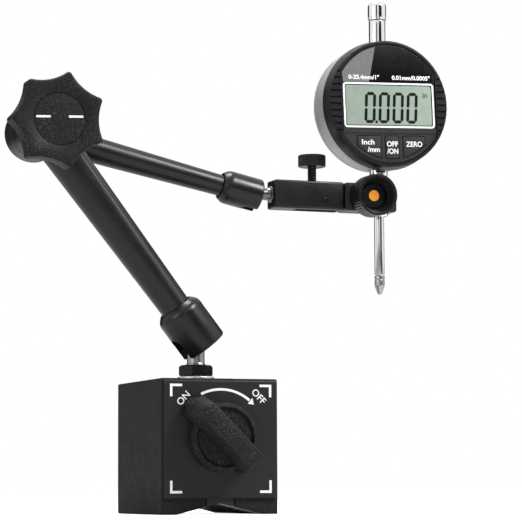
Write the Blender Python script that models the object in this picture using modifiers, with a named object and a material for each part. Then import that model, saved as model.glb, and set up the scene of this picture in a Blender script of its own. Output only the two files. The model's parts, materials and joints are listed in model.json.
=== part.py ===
"""Digital indicator on a jointed stand with a switchable magnetic base.

Seen from the front, which is -Y, with +X to the right and +Z up. Sizes are in metres.

The base is two iron poles round a magnet that the front knob turns. A ball stud on top carries the
lower arm, the star knob at the hub locks both arms through their push rods, and a second ball stud
carries the fine adjuster, whose clamp holds the indicator by its stem.

Everything is modelled from the middle of the base's foot. The last step moves the whole stand so
that the origin is at the bottom centre of its bounding box.
"""
from math import acos, atan2, cos, pi, radians, sin, sqrt, tau

import bmesh
import bpy
from mathutils import Euler, Matrix, Vector

# Fits shared by all pieces
FRAME_MARK = 0.01
GAP = 0.0003
OVERRUN = 0.002
MERGE = 0.00001
FACETS_LARGE = 40
FACETS = 20
FACETS_SMALL = 12

# Magnetic base
BASE_WIDTH = 0.050
BASE_DEPTH = 0.060
BASE_HEIGHT = 0.055
BASE_EDGE = 0.0007
FOOT_WIDTH = 0.00625
GROOVE_DEPTH = 0.0045
SPACER_WIDTH = 0.012
BORE_DIAMETER = 0.030
BORE_HEIGHT = 0.031
BEARING_THICKNESS = 0.004
BEARING_INSET = 0.0006
PLATE_WIDTH = 0.0485
PLATE_HEIGHT = 0.0475
PLATE_THICKNESS = 0.001
PLATE_MIDDLE = 0.0303
PLATE_EDGE = 0.0003

# Magnet switch
SHAFT_DIAMETER = 0.010
SHAFT_IN_KNOB = 0.004
SHAFT_COLLAR_DIAMETER = 0.013
SHAFT_COLLAR_LENGTH = 0.002
MAGNET_CLEARANCE = 0.0004
SWITCH_DIAMETER = 0.028
SWITCH_THICKNESS = 0.0055
SWITCH_RIM = 0.0018
SWITCH_DISH = 0.0009
SWITCH_CHAMFER = 0.0007
HANDLE_HEIGHT = 0.0145
HANDLE_FOOT_WIDTH = 0.0105
HANDLE_TOP_WIDTH = 0.0078
HANDLE_WALL = 0.0045
HANDLE_NOSE = 0.0068
HANDLE_TAIL = 0.0015
HANDLE_NOSE_SLOPE = 0.0042
HANDLE_TAIL_SLOPE = 0.0012
HANDLE_LIFT = 0.0009
HANDLE_EDGE = 0.0006
HANDLE_POINT_SHARE = 0.25
HANDLE_ANGLE = radians(135)

# Stud on the base, with its ball
WASHER_DIAMETER = 0.0154
WASHER_THICKNESS = 0.0017
NUT_FLATS = 0.013
NUT_HEIGHT = 0.0046
NUT_CHAMFER = 0.0009
NUT_CHAMFER_DROP = 0.0014
STUD_DIAMETER = 0.008
STUD_DEPTH = 0.0075
LOWER_NECK_DIAMETER = 0.0074
LOWER_BALL_DIAMETER = 0.014
LOWER_SOCKET_CLEARANCE = 0.0016

# Lower arm: its ball socket, its tapered tube and its drum at the hub
LOWER_ARM_LENGTH = 0.1073
LOWER_ARM_LEAN = radians(38.1)
LOWER_ARM_TOP_DIAMETER = 0.0168
LOWER_ARM_END_DIAMETER = 0.013
LOWER_ARM_FLATS = 0.0144
LOWER_SPIGOT = 0.0041
LOWER_SOCKET_DIAMETER = 0.020
LOWER_SOCKET_MOUTH = 0.0063
LOWER_SOCKET_BACK = 0.0148
LOWER_SOCKET_BACK_DIAMETER = 0.0150
LOWER_SOCKET_ROUNDING = 0.0024
LOWER_SOCKET_MOUTH_ROUNDING = 0.0009
LOWER_LIP = 0.0033
LOWER_LIP_DIAMETER = 0.0132
LOWER_CUP_WALL = 0.0014
LOWER_ROD_DIAMETER = 0.0052
LOWER_SLOT_GAP = 0.0005

# Hub where the two arms meet
DRUM_DIAMETER = 0.024
HUB_BOLT_DIAMETER = 0.008
HUB_BOLT_HEAD_DIAMETER = 0.013
HUB_BOLT_HEAD_HEIGHT = 0.0026
HUB_BOLT_HEAD_DEPTH = 0.0004
UPPER_DRUM_LENGTH = 0.0146
UPPER_DRUM_ROUNDING = 0.0042

# Star knob on the hub
KNOB_LOBES = 7
KNOB_LOBE_ANGLE = radians(78)
KNOB_TIP_DIAMETER = 0.0402
KNOB_VALLEY_DIAMETER = 0.0332
KNOB_HOLLOW_RADIUS = 0.0235
KNOB_TIP_BLEND = 0.0005
KNOB_NECK_DIAMETER = 0.0245
KNOB_SKIRT_DIAMETER = 0.0275
KNOB_NECK_SHARE = 0.35
KNOB_SKIRT_SHARE = 0.75
KNOB_SKIRT_LOBE_SHARE = 0.62
KNOB_LENGTH = 0.0175
KNOB_RIM_THICKNESS = 0.0095
KNOB_RIM_ROUNDING = 0.0012
KNOB_POINTS_PER_LOBE = 8
KNOB_CAP_DIAMETER = 0.021
KNOB_CAP_THICKNESS = 0.0016
KNOB_CAP_INSET = 0.0003
INSERT_DIAMETER = 0.0124
INSERT_LENGTH = 0.0095
INSERT_INSET = 0.0006

# Upper arm, its ball socket and its ball stud
UPPER_ARM_LENGTH = 0.0984
UPPER_ARM_DROP = radians(12.6)
UPPER_ARM_HUB_DIAMETER = 0.0122
UPPER_ARM_END_DIAMETER = 0.0091
UPPER_SPIGOT = 0.0041
UPPER_SOCKET_DIAMETER = 0.0145
UPPER_SOCKET_MOUTH = 0.0043
UPPER_SOCKET_BACK = 0.0137
UPPER_SOCKET_BACK_DIAMETER = 0.0112
UPPER_SOCKET_ROUNDING = 0.0018
UPPER_SOCKET_MOUTH_ROUNDING = 0.0008
UPPER_BALL_DIAMETER = 0.010
UPPER_NECK_DIAMETER = 0.0052
UPPER_NECK_LENGTH = 0.0065
UPPER_FLARE_DIAMETER = 0.0074
UPPER_FLARE_LENGTH = 0.0023
UPPER_THREAD_LENGTH = 0.0064
UPPER_LIP = 0.0021
UPPER_LIP_DIAMETER = 0.0095
UPPER_CUP_WALL = 0.0013
UPPER_ROD_DIAMETER = 0.0034
UPPER_SLOT_GAP = 0.0004

# Fine adjuster: block, lever, pivot pin and thumb screw
HOLDER_LENGTH = 0.0322
HOLDER_STANDOFF = 0.00105
HOLDER_DEPTH = 0.0104
HOLDER_HEIGHT = 0.0124
HOLDER_EDGE = 0.0008
HOLDER_AXIS_DROP = 0.0062
PIN_FROM_END = 0.0092
PIN_DROP = 0.0025
PIN_DIAMETER = 0.0035
LEVER_THICKNESS = 0.005
LEVER_HEIGHT = 0.0075
LEVER_LENGTH = 0.0205
LEVER_FOOT = 0.0008
LEVER_SWING_ROOM = 0.0018
JOURNAL_DIAMETER = 0.005
JOURNAL_LENGTH = 0.0074
SCREW_FROM_PIN = 0.0038
SCREW_DIAMETER = 0.004
SCREW_EXPOSED = 0.0059
SCREW_HEAD_DIAMETER = 0.0121
SCREW_HEAD_HEIGHT = 0.0052
SCREW_HEAD_CHAMFER = 0.0005

# Stem clamp
CLAMP_GAP = 0.0006
CLAMP_LENGTH = 0.0246
CLAMP_CHAMFER = 0.0016
CLAMP_STEM_FROM_END = 0.0063
CLAMP_SPLIT = 0.001
CLAMP_SPLIT_LENGTH = 0.0163
CLAMP_SCREW_FROM_STEM = 0.0071
CLAMP_SCREW_DIAMETER = 0.0032
CLAMP_SCREW_IN_JAW = 0.0036
CLAMP_SCREW_IN_KNOB = 0.0022
CLAMP_KNOB_DIAMETER = 0.0184
CLAMP_KNOB_LENGTH = 0.0092
CLAMP_KNOB_STANDOFF = 0.0012
CLAMP_KNOB_RIM = 0.0012
CLAMP_KNOB_FLOOR_DIAMETER = 0.0118
CLAMP_KNOB_DISH = 0.0046
CLAMP_CAP_DIAMETER = 0.0112
CLAMP_CAP_THICKNESS = 0.0011

# Indicator body
STEM_DIAMETER = 0.008
STEM_BELOW_DIAL = 0.0487
STEM_SEAT = 0.0035
STEM_CHAMFER = 0.0005
SPINDLE_DIAMETER = 0.0044
DIAL_ABOVE_CLAMP = 0.0409
BODY_DIAMETER = 0.0566
BODY_LENGTH = 0.0097
BODY_WALL = 0.004
BODY_WEB = 0.0012
BODY_STEM_WALL = 0.0007
BODY_EDGE = 0.0006
COVER_THICKNESS = 0.0016
COVER_EDGE = 0.0006
COVER_SCREW_DIAMETER = 0.0016
COVER_SCREW_LENGTH = 0.005
COVER_SCREW_HEAD_DIAMETER = 0.003
COVER_SCREW_HEAD_HEIGHT = 0.0008
COVER_SCREW_ANGLE = radians(45)
SLEEVE_DIAMETER = 0.0074
SLEEVE_LENGTH = 0.0110
SLEEVE_SEAT = 0.0030
SLEEVE_NECK_DIAMETER = 0.0062
SLEEVE_NECK_LENGTH = 0.0038
CAP_DIAMETER = 0.0082
CAP_BAND = 0.0062
CAP_DOME = 0.0019
CAP_DOME_FLAT_DIAMETER = 0.0050
CAP_TOP_WALL = 0.0012
BATTERY_DIAMETER = 0.0116
BATTERY_THICKNESS = 0.0054
BATTERY_OFFSET = 0.0138

# Spindle and contact point
SPINDLE_TRAVEL = 0.0254
SPINDLE_STOP_GAP = 0.0006
SPINDLE_LENGTH = 0.0930
POINT_LENGTH = 0.0084
POINT_COLLAR = 0.0044
POINT_DIAMETER = 0.0044
POINT_TIP_DIAMETER = 0.0024
POINT_SPIGOT_DIAMETER = 0.0022
POINT_SPIGOT_LENGTH = 0.003
CARRIER_WIDTH = 0.008
CARRIER_DEPTH = 0.0053
CARRIER_HEIGHT = 0.005
CARRIER_BELOW_DIAL = 0.0165
SCALE_WIDTH = 0.005
SCALE_THICKNESS = 0.0004
SCALE_LENGTH = 0.012

# Display head, which turns on the body
HEAD_FRONT_DIAMETER = 0.056
HEAD_REAR_DIAMETER = 0.0578
HEAD_LENGTH = 0.0074
HEAD_EDGE = 0.0006
GRIP_GROOVES = 10
GRIP_PITCH = 0.0029
GRIP_GROOVE_WIDTH = 0.0009
GRIP_GROOVE_DEPTH = 0.0006
GRIP_WIDTH = 0.0050
GRIP_MIDDLE = 0.0011
PANEL_DIAMETER = 0.0526
PANEL_WIDTH = 0.0446
PANEL_THICKNESS = 0.0018
PANEL_INSET = 0.0004
PANEL_LEDGE = 0.0012
HEAD_CAVITY_DIAMETER = 0.0490
HEAD_CAVITY_DEPTH = 0.0039
LCD_WIDTH = 0.0412
LCD_HEIGHT = 0.0177
LCD_CORNER = 0.0008
LCD_BELOW_CENTRE = 0.0007
LCD_INSET = 0.0002
LCD_GLASS_THICKNESS = 0.0008
LCD_MODULE_THICKNESS = 0.0015
LCD_MODULE_MARGIN = 0.0005
BOARD_THICKNESS = 0.001
BOARD_CLEARANCE = 0.0005
KEY_BAY_TOP = 0.0131
KEY_BAY_DIAMETER = 0.0510
KEY_BAY_DEPTH = 0.0003
KEY_TOP = 0.0144
KEY_DIAMETER = 0.0488
KEY_UNITS_LEFT = -0.0159
KEY_UNITS_RIGHT = -0.0044
KEY_POWER_LEFT = -0.0025
KEY_POWER_RIGHT = 0.0039
KEY_ZERO_LEFT = 0.0060
KEY_ZERO_RIGHT = 0.0166
KEY_LENGTH = 0.0026
KEY_PROUD = 0.0003
KEY_EDGE = 0.0003
KEY_ARC_STEPS = 6

# Places worked out from the sizes
UPPER_ARM_PLANE = LOWER_ARM_FLATS / 2 + GAP + UPPER_DRUM_LENGTH / 2
NUT_TOP = BASE_HEIGHT + GAP + WASHER_THICKNESS + GAP + NUT_HEIGHT
LOWER_SOCKET_REACH = LOWER_SOCKET_MOUTH * cos(LOWER_ARM_LEAN) + LOWER_SOCKET_DIAMETER / 2 * sin(LOWER_ARM_LEAN)
LOWER_BALL = Vector((0, 0, NUT_TOP + LOWER_SOCKET_REACH + LOWER_SOCKET_CLEARANCE))
HUB = LOWER_BALL + LOWER_ARM_LENGTH * Vector((-sin(LOWER_ARM_LEAN), 0, cos(LOWER_ARM_LEAN)))
UPPER_HUB = HUB + Vector((0, UPPER_ARM_PLANE, 0))
UPPER_BALL = UPPER_HUB + UPPER_ARM_LENGTH * Vector((cos(UPPER_ARM_DROP), 0, -sin(UPPER_ARM_DROP)))
HOLDER_LEFT = UPPER_BALL.x + UPPER_NECK_LENGTH + UPPER_FLARE_LENGTH + GAP + HOLDER_STANDOFF
HOLDER_RIGHT = HOLDER_LEFT + HOLDER_LENGTH
HOLDER_TOP = UPPER_BALL.z + HOLDER_HEIGHT - HOLDER_AXIS_DROP
PIN = Vector((HOLDER_RIGHT - PIN_FROM_END, UPPER_ARM_PLANE, UPPER_BALL.z - PIN_DROP))
CLAMP_LEFT = HOLDER_RIGHT + CLAMP_GAP
CLAMP_RIGHT = CLAMP_LEFT + CLAMP_LENGTH
STEM = Vector((CLAMP_RIGHT - CLAMP_STEM_FROM_END, UPPER_ARM_PLANE, UPPER_BALL.z))
CLAMP_SCREW = STEM - Vector((CLAMP_SCREW_FROM_STEM, 0, 0))
DIAL = STEM + Vector((0, 0, DIAL_ABOVE_CLAMP))
BODY_FRONT = STEM.y - STEM_DIAMETER / 2 - GAP - BODY_STEM_WALL
BODY_REAR = BODY_FRONT + BODY_LENGTH
HEAD_REAR = BODY_FRONT - GAP

# Directions that a turned piece's own Z can take
UP = Euler((0, 0, 0))
FRONT = Euler((pi / 2, 0, 0))
REAR = Euler((-pi / 2, 0, 0))
RIGHT = Euler((0, pi / 2, 0))


def clear_scene():
    """Remove what a new file holds."""
    for item in list(bpy.data.objects):
        bpy.data.objects.remove(item)


def finish(name, colour, roughness, metallic=0.0):
    """A Principled material with one colour."""
    look = bpy.data.materials.new(name)
    look.use_nodes = True
    shader = look.node_tree.nodes["Principled BSDF"]
    shader.inputs["Base Color"].default_value = (*colour, 1)
    shader.inputs["Roughness"].default_value = roughness
    shader.inputs["Metallic"].default_value = metallic
    look.diffuse_color = (*colour, 1)
    return look


class Stand:
    """Collections, frames and pieces of the stand."""

    def __init__(self):
        self.pieces = bpy.data.collections.new("Digital indicator stand")
        self.tools = bpy.data.collections.new("Cutters")
        for group in (self.pieces, self.tools):
            bpy.context.scene.collection.children.link(group)
        self.root = self.frame("stand_root", Vector(), None)

    def frame(self, name, place, parent, turn=UP):
        """An empty on a joint's axis, given by its place in the base's coordinates."""
        empty = bpy.data.objects.new(name, None)
        empty.empty_display_size = FRAME_MARK
        self.pieces.objects.link(empty)
        wanted = Matrix.Translation(place) @ turn.to_matrix().to_4x4()
        if parent is not None:
            empty.parent = parent
            wanted = parent.matrix_world.inverted() @ wanted
        empty.matrix_local = wanted
        bpy.context.view_layer.update()
        return empty

    def add(self, name, mesh, look, frame, place=(0, 0, 0), turn=UP, tool=False):
        """Put a mesh on a frame, as a piece or as a hidden cutter."""
        item = bpy.data.objects.new(name, mesh)
        (self.tools if tool else self.pieces).objects.link(item)
        item.parent = frame
        item.location = place
        item.rotation_euler = turn
        if look is not None:
            mesh.materials.append(look)
        if tool:
            item.hide_render = True
            item.display_type = "WIRE"
        return item

    def turned(self, name, profile, look, frame, place=(0, 0, 0), turn=UP,
               facets=FACETS, ring=False, tool=False):
        """Spin a profile of (radius, height) points that runs down the outer side."""
        mesh = bpy.data.meshes.new(name)
        shape = bmesh.new()
        points = [shape.verts.new((radius, 0, height)) for radius, height in profile]
        ends = points[1:] + points[:1] if ring else points[1:]
        for first, second in zip(points, ends):
            shape.edges.new((first, second))
        shape.to_mesh(mesh)
        shape.free()
        item = self.add(name, mesh, look, frame, place, turn, tool)
        spin = item.modifiers.new("Turn", "SCREW")
        spin.steps = spin.render_steps = facets
        spin.use_merge_vertices = True
        spin.merge_threshold = MERGE
        return item

    def rod(self, name, radius, low, high, look, frame, place=(0, 0, 0), turn=UP,
            facets=FACETS, chamfer=0, tool=False):
        """A plain round bar between two heights, with both ends chamfered alike."""
        if chamfer:
            profile = [(0, high), (radius - chamfer, high), (radius, high - chamfer),
                       (radius, low + chamfer), (radius - chamfer, low), (0, low)]
        else:
            profile = [(0, high), (radius, high), (radius, low), (0, low)]
        return self.turned(name, profile, look, frame, place, turn, facets, tool=tool)

    def block(self, name, size, look, frame, place=(0, 0, 0), turn=UP, edge=0, tool=False):
        """A box centred on its place, with its edges rounded by a Bevel."""
        mesh = bpy.data.meshes.new(name)
        shape = bmesh.new()
        bmesh.ops.create_cube(shape, size=1, matrix=Matrix.Diagonal((*size, 1)))
        shape.to_mesh(mesh)
        shape.free()
        item = self.add(name, mesh, look, frame, place, turn, tool)
        if edge:
            bevel(item, edge)
        return item

    def plate(self, name, outline, thickness, look, frame, place=(0, 0, 0), turn=UP,
              edge=0, tool=False):
        """A flat outline with a thickness, centred on its own plane."""
        curve = bpy.data.curves.new(name, "CURVE")
        curve.dimensions = "2D"
        curve.fill_mode = "BOTH"
        curve.extrude = thickness / 2
        line = curve.splines.new("POLY")
        line.points.add(len(outline) - 1)
        for point, (x, y) in zip(line.points, outline):
            point.co = (x, y, 0, 1)
        line.use_cyclic_u = True
        drawn = bpy.data.objects.new(name, curve)
        self.tools.objects.link(drawn)
        bpy.context.view_layer.update()
        mesh = bpy.data.meshes.new_from_object(drawn.evaluated_get(bpy.context.evaluated_depsgraph_get()))
        bpy.data.objects.remove(drawn)
        mesh.name = name
        shape = bmesh.new()
        shape.from_mesh(mesh)
        bmesh.ops.remove_doubles(shape, verts=shape.verts, dist=MERGE)
        bmesh.ops.recalc_face_normals(shape, faces=shape.faces)
        shape.to_mesh(mesh)
        shape.free()
        item = self.add(name, mesh, look, frame, place, turn, tool)
        if edge:
            bevel(item, edge)
        return item

    def loft(self, name, rings, look, frame, place=(0, 0, 0), turn=UP):
        """Skin between rings of as many points each, closed at both ends."""
        mesh = bpy.data.meshes.new(name)
        shape = bmesh.new()
        rows = [[shape.verts.new(point) for point in ring] for ring in rings]
        for upper, lower in zip(rows, rows[1:]):
            for i in range(len(upper)):
                j = (i + 1) % len(upper)
                shape.faces.new((upper[i], upper[j], lower[j], lower[i]))
        shape.faces.new(rows[0])
        shape.faces.new(rows[-1])
        bmesh.ops.recalc_face_normals(shape, faces=shape.faces)
        shape.to_mesh(mesh)
        shape.free()
        mesh.shade_smooth()
        mesh.set_sharp_from_angle(angle=radians(35))
        return self.add(name, mesh, look, frame, place, turn)


def bevel(item, width, segments=2):
    """Round an item's sharp edges."""
    rounding = item.modifiers.new("Edges", "BEVEL")
    rounding.width = width
    rounding.segments = segments
    rounding.limit_method = "ANGLE"


def boolean(item, tool, operation, solver="EXACT"):
    """Cut, join or trim an item with a hidden tool."""
    step = item.modifiers.new(f"{operation.title()} {tool.name}", "BOOLEAN")
    step.operation = operation
    step.solver = solver
    step.object = tool


def cut(item, *tools, solver="EXACT"):
    for tool in tools:
        boolean(item, tool, "DIFFERENCE", solver)


def ball_arc(radius, start, end, steps):
    """Outline of a ball about the origin, from one angle off its pole to another."""
    angles = [start + (end - start) * i / steps for i in range(steps + 1)]
    return [(radius * sin(angle), radius * cos(angle)) for angle in angles]


def round_corner(radius, height, rounding, steps=3):
    """A quarter round from a flat end's edge to the side below it."""
    return [(radius - rounding + rounding * sin(pi / 2 * i / steps),
             height - rounding + rounding * cos(pi / 2 * i / steps)) for i in range(steps + 1)]


def flipped(profile):
    """The same outline, seen from its other end."""
    return [(radius, -height) for radius, height in reversed(profile)]


def build_base(stand, looks):
    """Poles, spacers, plate, bearings, washer and nut: the fixed part of the stand."""
    frame = stand.frame("base_frame", Vector(), stand.root)
    slope = GROOVE_DEPTH / (BASE_WIDTH / 2 - FOOT_WIDTH)
    inner = (SPACER_WIDTH + GAP) / 2
    groove_at = lambda x: slope * (BASE_WIDTH / 2 - FOOT_WIDTH - abs(x))
    bore_tool = stand.rod("bore_cutter", BORE_DIAMETER / 2, -BASE_DEPTH / 2 - OVERRUN,
                          BASE_DEPTH / 2 + OVERRUN, None, frame, (0, 0, BORE_HEIGHT), FRONT,
                          FACETS_LARGE, tool=True)
    for name, side in (("pole_left", -1), ("pole_right", 1)):
        outline = [(side * x, z) for x, z in (
            (inner, groove_at(inner)), (BASE_WIDTH / 2 - FOOT_WIDTH, 0), (BASE_WIDTH / 2, 0),
            (BASE_WIDTH / 2, BASE_HEIGHT), (inner, BASE_HEIGHT))]
        pole = stand.plate(name, outline, BASE_DEPTH, looks["paint"], frame, turn=FRONT, edge=BASE_EDGE)
        cut(pole, bore_tool)

    half = (SPACER_WIDTH - GAP) / 2
    upper = stand.plate("spacer_top", [(-half, BORE_HEIGHT), (half, BORE_HEIGHT), (half, BASE_HEIGHT),
                                       (-half, BASE_HEIGHT)], BASE_DEPTH, looks["spacer"], frame, turn=FRONT)
    stud_hole = stand.rod("stud_hole_cutter", STUD_DIAMETER / 2 + GAP, BORE_HEIGHT,
                          BASE_HEIGHT + OVERRUN, None, frame, tool=True)
    cut(upper, bore_tool, stud_hole)
    lower = stand.plate("spacer_bottom", [(-half, groove_at(half)), (0, GROOVE_DEPTH), (half, groove_at(half)),
                                          (half, BORE_HEIGHT), (-half, BORE_HEIGHT)],
                        BASE_DEPTH, looks["spacer"], frame, turn=FRONT)
    cut(lower, bore_tool)

    axis = (0, 0, BORE_HEIGHT)
    front_face = BASE_DEPTH / 2
    bearing_face = front_face - BEARING_INSET
    hole = SHAFT_DIAMETER / 2 + GAP
    outer = BORE_DIAMETER / 2 - GAP
    stand.turned("front_bearing", [(outer, bearing_face), (outer, bearing_face - BEARING_THICKNESS),
                                   (hole, bearing_face - BEARING_THICKNESS), (hole, bearing_face)],
                 looks["spacer"], frame, axis, FRONT, ring=True)
    stand.rod("rear_plug", outer, -bearing_face, BEARING_THICKNESS - bearing_face,
              looks["paint"], frame, axis, FRONT)
    plate = stand.block("front_plate", (PLATE_WIDTH, PLATE_THICKNESS, PLATE_HEIGHT), looks["plate"], frame,
                        (0, -front_face - GAP - PLATE_THICKNESS / 2, PLATE_MIDDLE), edge=PLATE_EDGE)
    plate_hole = stand.rod("plate_hole_cutter", hole, front_face - OVERRUN,
                           front_face + GAP + PLATE_THICKNESS + OVERRUN, None, frame, axis, FRONT, tool=True)
    cut(plate, plate_hole)

    washer_low = BASE_HEIGHT + GAP
    washer_high = washer_low + WASHER_THICKNESS
    stud_gap = STUD_DIAMETER / 2 + GAP
    stand.turned("stud_washer", [(WASHER_DIAMETER / 2, washer_high), (WASHER_DIAMETER / 2, washer_low),
                                 (stud_gap, washer_low), (stud_gap, washer_high)],
                 looks["chrome"], frame, ring=True)
    nut_low = washer_high + GAP
    nut_high = NUT_TOP
    corner = NUT_FLATS / 2 / cos(pi / 6)
    hexagon = [(corner * cos(tau * i / 6), corner * sin(tau * i / 6)) for i in range(6)]
    nut = stand.plate("lock_nut", hexagon, NUT_HEIGHT, looks["oxide"], frame, (0, 0, (nut_low + nut_high) / 2))
    nut_shape = stand.turned("nut_chamfer", [(0, nut_high + OVERRUN), (NUT_FLATS / 2 - NUT_CHAMFER, nut_high),
                                             (corner + NUT_CHAMFER, nut_high - NUT_CHAMFER_DROP),
                                             (corner + NUT_CHAMFER, nut_low - OVERRUN), (0, nut_low - OVERRUN)],
                             None, frame, tool=True)
    boolean(nut, nut_shape, "INTERSECT")
    cut(nut, stand.rod("nut_hole_cutter", stud_gap, nut_low - OVERRUN, nut_high + OVERRUN, None, frame, tool=True))
    return frame, nut_high


def build_switch(stand, looks, base):
    """Knob with its pointer, and the magnet that it turns inside the poles."""
    frame = stand.frame("switch_axis", Vector((0, 0, BORE_HEIGHT)), base)
    face = BASE_DEPTH / 2 + GAP + PLATE_THICKNESS + GAP
    top = face + SWITCH_THICKNESS
    radius = SWITCH_DIAMETER / 2
    knob = stand.turned("switch_knob", [(0, top - SWITCH_DISH), (radius - SWITCH_RIM - SWITCH_DISH, top - SWITCH_DISH),
                                        (radius - SWITCH_RIM, top), (radius - SWITCH_CHAMFER, top),
                                        (radius, top - SWITCH_CHAMFER), (radius, face), (0, face)],
                        looks["knob"], frame, turn=FRONT, facets=FACETS_LARGE)
    nose = radius + HANDLE_NOSE
    tail = radius + HANDLE_TAIL
    low = face + HANDLE_LIFT
    waist = face + HANDLE_WALL
    high = face + HANDLE_HEIGHT
    sections = [(low, -tail, nose, HANDLE_FOOT_WIDTH), (waist, -tail, nose, HANDLE_FOOT_WIDTH),
                (high, HANDLE_TAIL_SLOPE - tail, nose - HANDLE_NOSE_SLOPE, HANDLE_TOP_WIDTH)]
    rings = [[(start, -width / 2, height), (end - HANDLE_POINT_SHARE * width, -width / 2, height), (end, 0, height),
              (end - HANDLE_POINT_SHARE * width, width / 2, height), (start, width / 2, height)]
             for height, start, end, width in sections]
    handle = stand.loft("handle_joiner", rings, None, frame, turn=FRONT)
    stand.pieces.objects.unlink(handle)
    stand.tools.objects.link(handle)
    handle.hide_render = True
    handle.display_type = "WIRE"
    handle.rotation_euler = (FRONT.to_matrix() @ Matrix.Rotation(HANDLE_ANGLE, 3, "Z")).to_euler()
    bevel(handle, HANDLE_EDGE)
    boolean(knob, handle, "UNION")
    cut(knob, stand.rod("knob_bore_cutter", SHAFT_DIAMETER / 2 + GAP, face - OVERRUN,
                        face + SHAFT_IN_KNOB + GAP, None, frame, turn=FRONT, tool=True))

    bearing_back = BASE_DEPTH / 2 - BEARING_INSET - BEARING_THICKNESS
    collar_low = bearing_back - GAP - SHAFT_COLLAR_LENGTH
    plug_face = BEARING_THICKNESS + BEARING_INSET - BASE_DEPTH / 2
    stand.turned("rotor_shaft", [(0, face + SHAFT_IN_KNOB), (SHAFT_DIAMETER / 2, face + SHAFT_IN_KNOB),
                                 (SHAFT_DIAMETER / 2, bearing_back - GAP),
                                 (SHAFT_COLLAR_DIAMETER / 2, bearing_back - GAP),
                                 (SHAFT_COLLAR_DIAMETER / 2, collar_low), (SHAFT_DIAMETER / 2, collar_low),
                                 (SHAFT_DIAMETER / 2, plug_face + GAP), (0, plug_face + GAP)],
                 looks["steel"], frame, turn=FRONT)
    magnet = BORE_DIAMETER / 2 - MAGNET_CLEARANCE
    hole = SHAFT_DIAMETER / 2 + GAP
    stand.turned("rotor_magnet", [(magnet, collar_low - GAP), (magnet, plug_face + GAP),
                                  (hole, plug_face + GAP), (hole, collar_low - GAP)],
                 looks["ferrite"], frame, turn=FRONT, ring=True)


def build_lower_stud(stand, looks, base):
    """The stud in the base's top, with the ball that the lower arm grips."""
    frame = stand.frame("lower_stud_axis", LOWER_BALL, base)
    ball = LOWER_BALL_DIAMETER / 2
    neck = LOWER_NECK_DIAMETER / 2
    seat = NUT_TOP - LOWER_BALL.z
    foot = BASE_HEIGHT - STUD_DEPTH - LOWER_BALL.z
    leave = pi - acos(sqrt(ball ** 2 - neck ** 2) / ball)
    thread = STUD_DIAMETER / 2
    stand.turned("lower_ball_stud", ball_arc(ball, 0, leave, 9)
                 + [(neck, seat), (thread, seat - (thread - neck)), (thread, foot + GAP),
                    (thread - GAP, foot), (0, foot)], looks["steel"], frame)
    return frame


def socket_profile(mouth, back, diameter, back_diameter, rounding, mouth_rounding,
                   lip, lip_diameter, bore_diameter, step, spigot_diameter):
    """Sleeve with a retaining lip at the mouth and a hole for the arm at the back."""
    outer = diameter / 2
    profile = [(spigot_diameter / 2, back), (back_diameter / 2, back)]
    for i in range(5):
        angle = pi / 2 * i / 4
        profile.append((back_diameter / 2 + (outer - back_diameter / 2) * sin(angle),
                        back - rounding + rounding * cos(angle)))
    profile += [(outer, mouth_rounding - mouth), (outer - mouth_rounding, -mouth), (lip_diameter / 2, -mouth),
                (lip_diameter / 2, lip - mouth), (bore_diameter / 2, lip - mouth + (bore_diameter - lip_diameter) / 2),
                (bore_diameter / 2, step), (spigot_diameter / 2, step)]
    return profile[1:2] + profile[3:] + profile[:1]


def cup_profile(ball_diameter, neck_diameter, bore_diameter, wall):
    """Pad with a round seat, which the push rod presses on the ball."""
    seat = ball_diameter / 2 + GAP
    outer = bore_diameter / 2 - GAP
    front = neck_diameter / 2 + 2 * GAP
    back = seat + wall
    start = acos(front / seat)
    arc = ball_arc(seat, start, 0, 4)
    return [(0, back), (outer - GAP, back), (outer, back - GAP), (outer, front)] + arc, back


def slot_outline(half, length, steps=8):
    """Slot from a round end about the origin, open towards -Y."""
    arc = [(half * cos(pi * i / steps), half * sin(pi * i / steps)) for i in range(steps + 1)]
    return arc + [(-half, -length), (half, -length)]


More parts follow.
